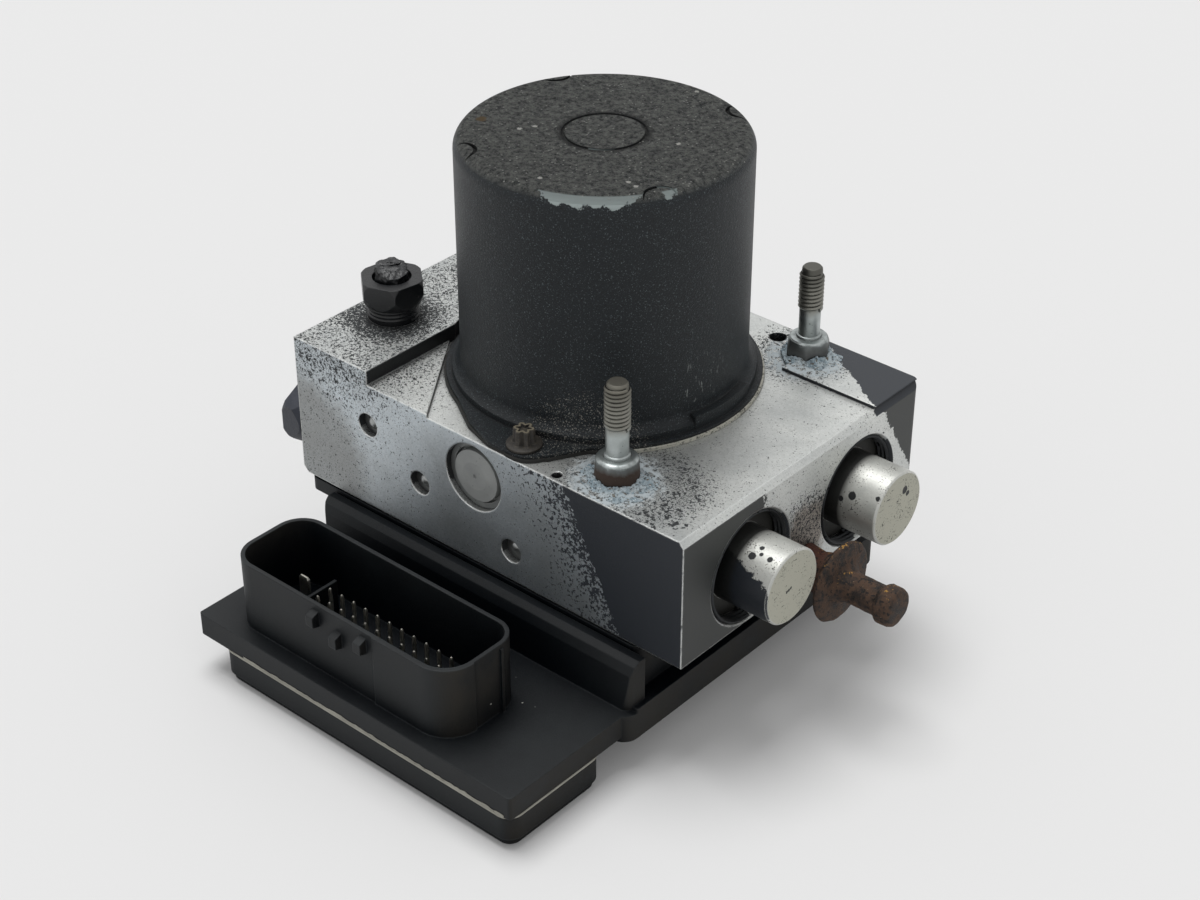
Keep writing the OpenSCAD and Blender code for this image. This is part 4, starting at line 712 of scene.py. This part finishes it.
aluminium = bead_rolled_aluminium()
motor_paint = textured_motor_paint()
housing_nylon = moulded_nylon("moulded_nylon_housing", "0b0f12", 0.9)
cover_nylon = moulded_nylon("moulded_nylon_cover", "111517", 0.9)
cap_front = turned_alloy("turned_alloy_front_cap", CAP_FRONT_Y, True, [
    ((63.1, -21.7, 51.2), 0.6), ((62.3, -24.0, 50.0), 0.9), ((64.0, -23.0, 50.6), 0.5),
    ((66.4, -23.2, 50.5), 0.7),
    ((CAP_END_X, -20.8, 42.2), 0.4), ((CAP_END_X, -20.1, 42.3), 0.4), ((CAP_END_X, -19.4, 42.5), 0.35)])
cap_rear = turned_alloy("turned_alloy_rear_cap", CAP_REAR_Y, False, [
    ((59.9, 11.6, 45.4), 0.7), ((62.4, 12.1, 46.9), 1.0), ((68.6, 13.1, 48.3), 0.6),
    ((CAP_END_X, 22.4, 46.4), 1.0), ((CAP_END_X, 23.6, 45.0), 0.7)])
satin_steel = worked_metal("satin_steel", "b8bab9", "8b8e8e", "4a4b49", 0.26, 0.3)
dark_steel = worked_metal("blackened_steel", "4b4d4f", "2a2b2c", "161616", 0.3, 0.45)
ring_steel = worked_metal("dull_ring_steel", "a3a5a4", "767979", "2c2d2d", 0.3, 0.5)
spring_wire = worked_metal("drawn_spring_wire", "8e9296", "6a6e72", "3a3a38", 0.2, 0.3, 0.3)
screw_steel = dusty_screw_steel()
copper_wire = worked_metal("enamelled_copper_wire", "c67a4a", "93502a", "4a2818", 0.25, 0.35, 0.4)
tinned_brass = worked_metal("tinned_brass", "cfcdc4", "a5a298", "6a675c", 0.22, 0.3, 0.3)
magnet_iron = worked_metal("sintered_magnet", "3c3d40", "28292b", "18181a", 0.3, 0.6)
rust = rusty_steel()
salt = corrosion_salt()
stud_front_zinc = zinc_plated_steel("zinc_plated_front_stud", BLOCK_TOP, 0.9)
stud_rear_zinc = zinc_plated_steel("zinc_plated_rear_stud", BLOCK_TOP, 0.3)
black_coat = coated_steel("black_coated_steel", "0c0d0f", "17191c", 0.05)
blue_coat = coated_steel("blue_black_coated_steel", "151a26", "1d2433", 0.02)
pale_gasket = fibre_gasket()
bead_sealant = dull_stuff("pale_sealant_bead", "b3b1a6", "7f7d74", 0.7)
black_rubber = dull_stuff("black_rubber", "1a1b1c", "242526", 0.7)
pale_plastic = dull_stuff("pale_moulded_plastic", "c9c2ac", "a49d88", 0.5)
brush_carbon = dull_stuff("pressed_carbon", "202022", "2f2f31", 0.6)
dry_alloy = dull_stuff("dry_machined_alloy", "a9aba9", "7e8181", 0.4, 0.5, 0.05)
green_board = dull_stuff("lacquered_circuit_board", "1d5a33", "14421f", 0.35, 0.5, 0.02)

FINISHES = {
    "valve_block": aluminium,
    "motor_housing": motor_paint,
    "motor_gasket": pale_gasket,
    "mounting_pin": rust,
    "accumulator_cap_front": cap_front,
    "accumulator_cap_rear": cap_rear,
    "retaining_rings": ring_steel,
    "pump_caps": dry_alloy,
    "pipe_nut_top": black_coat,
    "pipe_stub_top": black_coat,
    "pipe_nut_side": blue_coat,
    "pipe_stub_side": blue_coat,
    "motor_screws": screw_steel,
    "motor_magnets": magnet_iron,
    "armature_windings": copper_wire,
    "commutator": copper_wire,
    "valve_coils": copper_wire,
    "brush_plate": pale_plastic,
    "brushes": brush_carbon,
    "motor_terminal": pale_plastic,
    "ecu_housing": housing_nylon,
    "ecu_cover": cover_nylon,
    "connector_pins": tinned_brass,
    "power_blades": tinned_brass,
    "circuit_board": green_board,
    "cover_seal": bead_sealant,
    "ecu_screws": dark_steel,
    "block_seal": black_rubber,
    "mounting_stud_front": stud_front_zinc,
    "mounting_stud_rear": stud_rear_zinc,
}
for name, cad_node in NODES.items():
    cad_node.data.materials.clear()
    cad_node.data.materials.append(spring_wire if "spring" in name else FINISHES.get(name, satin_steel))


# Studs: turned blanks with a rolled M6 thread of 1 mm pitch

def stud(name, cad_name, y, outline, extra, finish):
    """A stud in place of the CAD node: an outline in heights above the block's top, and a rolled thread."""
    blank = turned(name, (STUD_X, y, BLOCK_TOP), outline)
    top = outline[-1][0]
    rolled = thread(name + "_thread", (STUD_X, y, BLOCK_TOP + 12.6), top - 14.0, 2.3, 2.92, 1.0)
    piece = settle(joined(name, [blank, rolled] + extra), "module", finish)
    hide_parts(cad_name)


stud("stud_front", "mounting_stud_front", STUD_FRONT_Y, [
    (-11.5, 2.8), (0, 2.8), (0.02, 4.85), (0.25, 5.0), (2.4, 4.86), (4.9, 4.7), (5.3, 4.3), (5.5, 3.75),
    (5.55, 2.95), (6.2, 2.9), (6.4, 2.58), (12.5, 2.58), (12.8, 2.42), (22.7, 2.42), (23.4, 2.35),
    (23.8, 2.0)], [], stud_front_zinc)

# The rear stud's collar is a hexagon turned to a cone
collar_place = (STUD_X, STUD_REAR_Y, BLOCK_TOP)
hexagon = turned("hexagon", collar_place, [(0.8, 5.35), (4.9, 5.35)], 6)
hexagon.rotation_euler = (0, 0, math.radians(30))
cone = turned("cone", collar_place, [(0.7, 5.9), (1.0, 5.85), (4.9, 4.5), (5.2, 4.4)], 96)
alone(hexagon)
trim = hexagon.modifiers.new("trim", "BOOLEAN")
trim.operation = "INTERSECT"
trim.object = cone
bpy.ops.object.modifier_apply(modifier="trim")
alone(cone)
bpy.ops.object.delete()
stud("stud_rear", "mounting_stud_rear", STUD_REAR_Y, [
    (-11.5, 2.8), (0.85, 2.8), (4.85, 4.45), (5.2, 4.2), (5.3, 2.95), (5.8, 2.9), (6.0, 2.5), (12.3, 2.5),
    (12.6, 2.42), (22.3, 2.42), (22.9, 2.35), (23.3, 2.0)], [hexagon], stud_rear_zinc)


# Rusty pin: turned, then pitted all over

pin = turned("rusty_mounting_pin", (0, 0, 0), [
    (-11.5, 3.45), (0, 3.45), (0.02, 5.2), (4.0, 4.8), (7.2, 5.7), (8.9, 6.9), (9.0, 8.6), (9.4, 9.5),
    (10.1, 9.9), (10.8, 9.5), (11.2, 8.8), (11.3, 5.6), (12.2, 4.5), (13.4, 3.8), (20.8, 3.8), (22.2, 4.8),
    (24.8, 4.8), (25.6, 4.4), (26.0, 3.6)], 96, 0.45)
pin.rotation_euler = (0, math.radians(90), 0)
pin.location = Vector((RIGHT_X, 0.5, 32.8)) * MM
roughen(pin, "scale", 2.6, 0.25)
roughen(pin, "pits", 0.7, 0.12)
settle(pin, "module", rust, 60)
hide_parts("mounting_pin")


# Crusts of corrosion round both studs

for label, centre, spread in (("front", (33.0, -33.6, BLOCK_TOP - 0.25), (9.2, 7.4, 0.95)),
                              ("rear", (33.0, 34.6, BLOCK_TOP + 0.45), (7.6, 6.2, 0.8))):
    clear()
    bpy.ops.mesh.primitive_ico_sphere_add(subdivisions=7, radius=MM, location=Vector(centre) * MM)
    crust = bpy.context.object
    crust.name = "corrosion_crust_" + label
    crust.scale = spread
    roughen(crust, "crust_rim_" + label, 4.5, 3.2, 0.5)
    roughen(crust, "crust_grain_" + label, 0.8, 0.9, 0.5)
    roughen(crust, "crust_crumb_" + label, 0.35, 0.3, 0.5)
    settle(crust, "module", salt, 80)


# Motor screws: a round flange under a six-lobed head with a shallow recess

def motor_screw(x, y):
    """One screw's meshes: shank and washer in one, and the six-lobed head, which flares at its foot."""
    foot = SCREW_FOOT
    washer = turned("screw_washer", (x, y, 0), [
        (49.0, 1.95), (foot, 1.95), (foot + 0.02, 3.85), (foot + 0.2, 4.0), (foot + 0.65, 4.0),
        (foot + 0.8, 3.7), (foot + 1.0, 2.9)], 48)
    clear()
    bpy.ops.mesh.primitive_circle_add(vertices=24, radius=2.65 * MM, fill_type="NGON",
                                      location=Vector((x, y, foot + 0.9)) * MM)
    star = bpy.context.object
    star.name = "screw_star"
    bpy.ops.object.transform_apply(location=True)
    edit(star)
    bpy.ops.mesh.select_mode(type="VERT")
    for lobe_part, grow in ((0, 1.12), (1, 1.02), (3, 1.02), (2, 0.76)):
        bpy.ops.object.mode_set(mode="OBJECT")
        for i, corner in enumerate(star.data.vertices):
            corner.select = i % 4 == lobe_part
        bpy.ops.object.mode_set(mode="EDIT")
        bpy.ops.transform.resize(value=(grow, grow, 1), center_override=Vector((x, y, 0)) * MM)
    bpy.ops.mesh.select_mode(type="FACE")
    bpy.ops.mesh.select_all(action="SELECT")
    for rise, shrink in ((0.9, 0.86), (2.4, 0.98), (0.25, 0.93)):
        bpy.ops.mesh.extrude_region_move(TRANSFORM_OT_translate={"value": (0, 0, rise * MM)})
        bpy.ops.transform.resize(value=(shrink, shrink, 1))
    bpy.ops.mesh.inset(thickness=0.45 * MM, depth=0)
    bpy.ops.mesh.extrude_region_move(TRANSFORM_OT_translate={"value": (0, 0, -0.6 * MM)})
    bpy.ops.transform.resize(value=(0.8, 0.8, 1))
    bpy.ops.object.mode_set(mode="OBJECT")
    return [washer, star]


heads = [piece for x, y in MOTOR_SCREWS for piece in motor_screw(x, y)]
screws = settle(joined("star_head_screws", heads), "module", screw_steel, 30)
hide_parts("motor_screws")


# Threads in the mouths of the two large bores, and on the pipe nut's shank

for label, y in (("front", CAP_FRONT_Y), ("rear", CAP_REAR_Y)):
    rings = thread("bore_thread_" + label, (0, 0, 0), 3.3, 13.4, 12.5, 1.1, 96)
    rings.rotation_euler = (0, math.radians(90), 0)
    rings.location = Vector((54.95, y, CAP_Z)) * MM
    settle(rings, "module", dark_steel, 30)

nut_thread = thread("pipe_nut_thread", (NUT_X, NUT_Y, LEDGE_TOP + 0.5), 3.0, 5.6, 6.2, 1.0, 64)
settle(nut_thread, "module", black_coat, 30)


# Pipe stub: its end is crushed, sealed over and cut on a slant

stub = turned("crushed_pipe_stub", (NUT_X, NUT_Y, 0), [
    (53.5, 2.35), (73.9, 2.35), (73.92, 4.1), (76.0, 4.1), (78.4, 4.0), (79.6, 3.3)], 64, 0.5)
alone(stub)
bpy.ops.object.transform_apply(location=True)
edit(stub)
bpy.ops.mesh.select_all(action="SELECT")
bpy.ops.mesh.bisect(plane_co=Vector((NUT_X, NUT_Y, 78.0)) * MM, plane_no=(0.22, -0.12, 1.0),
                    clear_outer=True, use_fill=True)
bpy.ops.mesh.inset(thickness=0.9 * MM, depth=0.35 * MM)
bpy.ops.mesh.inset(thickness=1.2 * MM, depth=0.15 * MM)
bpy.ops.mesh.select_all(action="SELECT")
bpy.ops.mesh.quads_convert_to_tris()
pick(stub, lambda centre, normal: centre.z > 75.5)
bpy.ops.mesh.subdivide(number_cuts=2)
bpy.ops.object.mode_set(mode="OBJECT")
roughen(stub, "crumple", 1.8, 1.0, 0.25)
settle(stub, "module", black_coat, 50)
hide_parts("pipe_stub_top")


# Sealant squeezed out along the front of the plate's lower edge: a thin strip with a wavy outline

STRIP_LEFT = -34.0
STRIP_LENGTH = 81.0
STRIP_Z = 9.4
STRIP_STEP = 0.75
clear()
bpy.ops.mesh.primitive_cube_add(
    size=MM, location=Vector((STRIP_LEFT + STRIP_LENGTH / 2, -85.77, STRIP_Z)) * MM)
squeeze = bpy.context.object
squeeze.name = "squeezed_sealant"
squeeze.scale = (STRIP_LENGTH, 0.14, 0.75)
bpy.ops.object.transform_apply(location=True, scale=True)
edit(squeeze)
bpy.ops.mesh.select_all(action="SELECT")
bpy.ops.mesh.bisect(plane_co=(0, 0, STRIP_Z * MM), plane_no=(0, 0, 1))
for cut in range(1, round(STRIP_LENGTH / STRIP_STEP)):
    bpy.ops.mesh.select_all(action="SELECT")
    bpy.ops.mesh.bisect(plane_co=((cut * STRIP_STEP + STRIP_LEFT) * MM, 0, 0), plane_no=(1, 0, 0))
bpy.ops.object.mode_set(mode="OBJECT")
roughen(squeeze, "squeeze_wave", 2.2, 0.9, 0.5, "Z")
roughen(squeeze, "squeeze_width", 1.1, 0.1)
settle(squeeze, "module", bead_sealant, 40)


# Contacts: 22 square pins with tapered tips, and one wide blade with a rolled rib

CONTACT_PITCH = 3.8
clear()
bpy.ops.mesh.primitive_cube_add(size=0.7 * MM, location=Vector((-21.5, -73.0, 7.35)) * MM)
first_pin = bpy.context.object
edit(first_pin)
pick(first_pin, lambda centre, normal: normal.z > 0.9)
bpy.ops.transform.translate(value=(0, 0, 17.7 * MM))
bpy.ops.mesh.extrude_region_move(TRANSFORM_OT_translate={"value": (0, 0, 0.45 * MM)})
bpy.ops.transform.resize(value=(0.62, 0.62, 1))
bpy.ops.mesh.extrude_region_move(TRANSFORM_OT_translate={"value": (0, 0, 0.14 * MM)})
bpy.ops.transform.resize(value=(0.5, 0.5, 1))
bpy.ops.object.mode_set(mode="OBJECT")
pin_row = [first_pin] + [copied(first_pin, (CONTACT_PITCH * column, CONTACT_PITCH * row, 0))
                         for row in range(2) for column in range(11) if row or column]
pins = settle(joined("contact_pins", pin_row), "module", tinned_brass, 25)
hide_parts("connector_pins")

clear()
bpy.ops.mesh.primitive_cube_add(size=MM, location=Vector((-27.9, -71.0, 16.9)) * MM)
blade = bpy.context.object
blade.name = "contact_blade"
blade.scale = (2.9, 0.8, 19.6)
bpy.ops.object.transform_apply(location=True, scale=True)
edit(blade)
pick(blade, lambda centre, normal: normal.z > 0.9)
bpy.ops.mesh.extrude_region_move(TRANSFORM_OT_translate={"value": (0, 0, 0.6 * MM)})
bpy.ops.transform.resize(value=(0.72, 0.45, 1))
pick(blade, lambda centre, normal: abs(normal.y) > 0.95)
bpy.ops.mesh.inset(thickness=0.75 * MM, depth=-0.18 * MM, use_individual=True)
bpy.ops.object.mode_set(mode="OBJECT")
settle(blade, "module", tinned_brass, 25)
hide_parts("power_blades")


# Camera at the photograph's place, in the part's own frame

CAMERA_TURN = math.radians(41.103)
CAMERA_RISE = math.radians(33.053)
CAMERA_PLACE = Vector((296.42, -341.28, 332.44)) * MM
right = Vector((math.cos(CAMERA_TURN), math.sin(CAMERA_TURN), 0))
back = Vector((math.sin(CAMERA_TURN) * math.cos(CAMERA_RISE),
               -math.cos(CAMERA_TURN) * math.cos(CAMERA_RISE), math.sin(CAMERA_RISE)))
up = back.cross(right)
camera_data = bpy.data.cameras.new("camera")
camera_data.lens = 68.6
camera_data.sensor_width = 36.0
camera_data.clip_start = 0.01
camera_data.clip_end = 20.0
camera = bpy.data.objects.new("camera", camera_data)
bpy.context.scene.collection.objects.link(camera)
camera.matrix_world = Matrix.Translation(CAMERA_PLACE) @ Matrix((right, up, back)).transposed().to_4x4()
bpy.context.scene.camera = camera


# Pale floor, even sky and one soft sun

def looked_at(tree):
    """1 for what the camera sees, directly, reflected or through glass."""
    ray = add(tree, "LightPath").node.outputs
    direct = add(tree, "Math", {0: ray["Is Camera Ray"], 1: ray["Is Glossy Ray"]})
    return add(tree, "Math", {0: direct, 1: ray["Is Transmission Ray"]}, use_clamp=True)


clear()
bpy.ops.mesh.primitive_plane_add(size=8.0)
floor = bpy.context.object
floor.name = "floor"
pale = bpy.data.materials.new("pale_floor")
pale.use_nodes = True
floor_tree = pale.node_tree
floor_tree.nodes.remove(floor_tree.nodes["Principled BSDF"])
glow = add(floor_tree, "Math", {0: looked_at(floor_tree), 1: 0.08}, operation="MULTIPLY")
matt = add(floor_tree, "BsdfDiffuse", {"Color": linear("e4e4e4")})
lit = add(floor_tree, "Emission", {"Color": linear("e8e8e8"), "Strength": 1.0})
surface = add(floor_tree, "MixShader", {0: glow, 1: matt, 2: lit})
floor_tree.links.new(surface, floor_tree.nodes["Material Output"].inputs["Surface"])
floor.data.materials.append(pale)

world = bpy.data.worlds.new("studio")
bpy.context.scene.world = world
world.use_nodes = True
sky_tree = world.node_tree
sky = sky_tree.nodes["Background"]
sky.inputs["Color"].default_value = linear("e8e8e8")
sky_tree.links.new(add(sky_tree, "Mix", {0: looked_at(sky_tree), 2: 0.61, 3: 1.0}), sky.inputs["Strength"])

sun_data = bpy.data.lights.new("soft_sun", "SUN")
sun_data.energy = 1.85
sun_data.angle = math.radians(35)
sun = bpy.data.objects.new("soft_sun", sun_data)
bpy.context.scene.collection.objects.link(sun)
sun.rotation_euler = Vector((-0.2, 0.06, 1.0)).to_track_quat("Z", "Y").to_euler()

bpy.context.scene.view_settings.view_transform = "Standard"
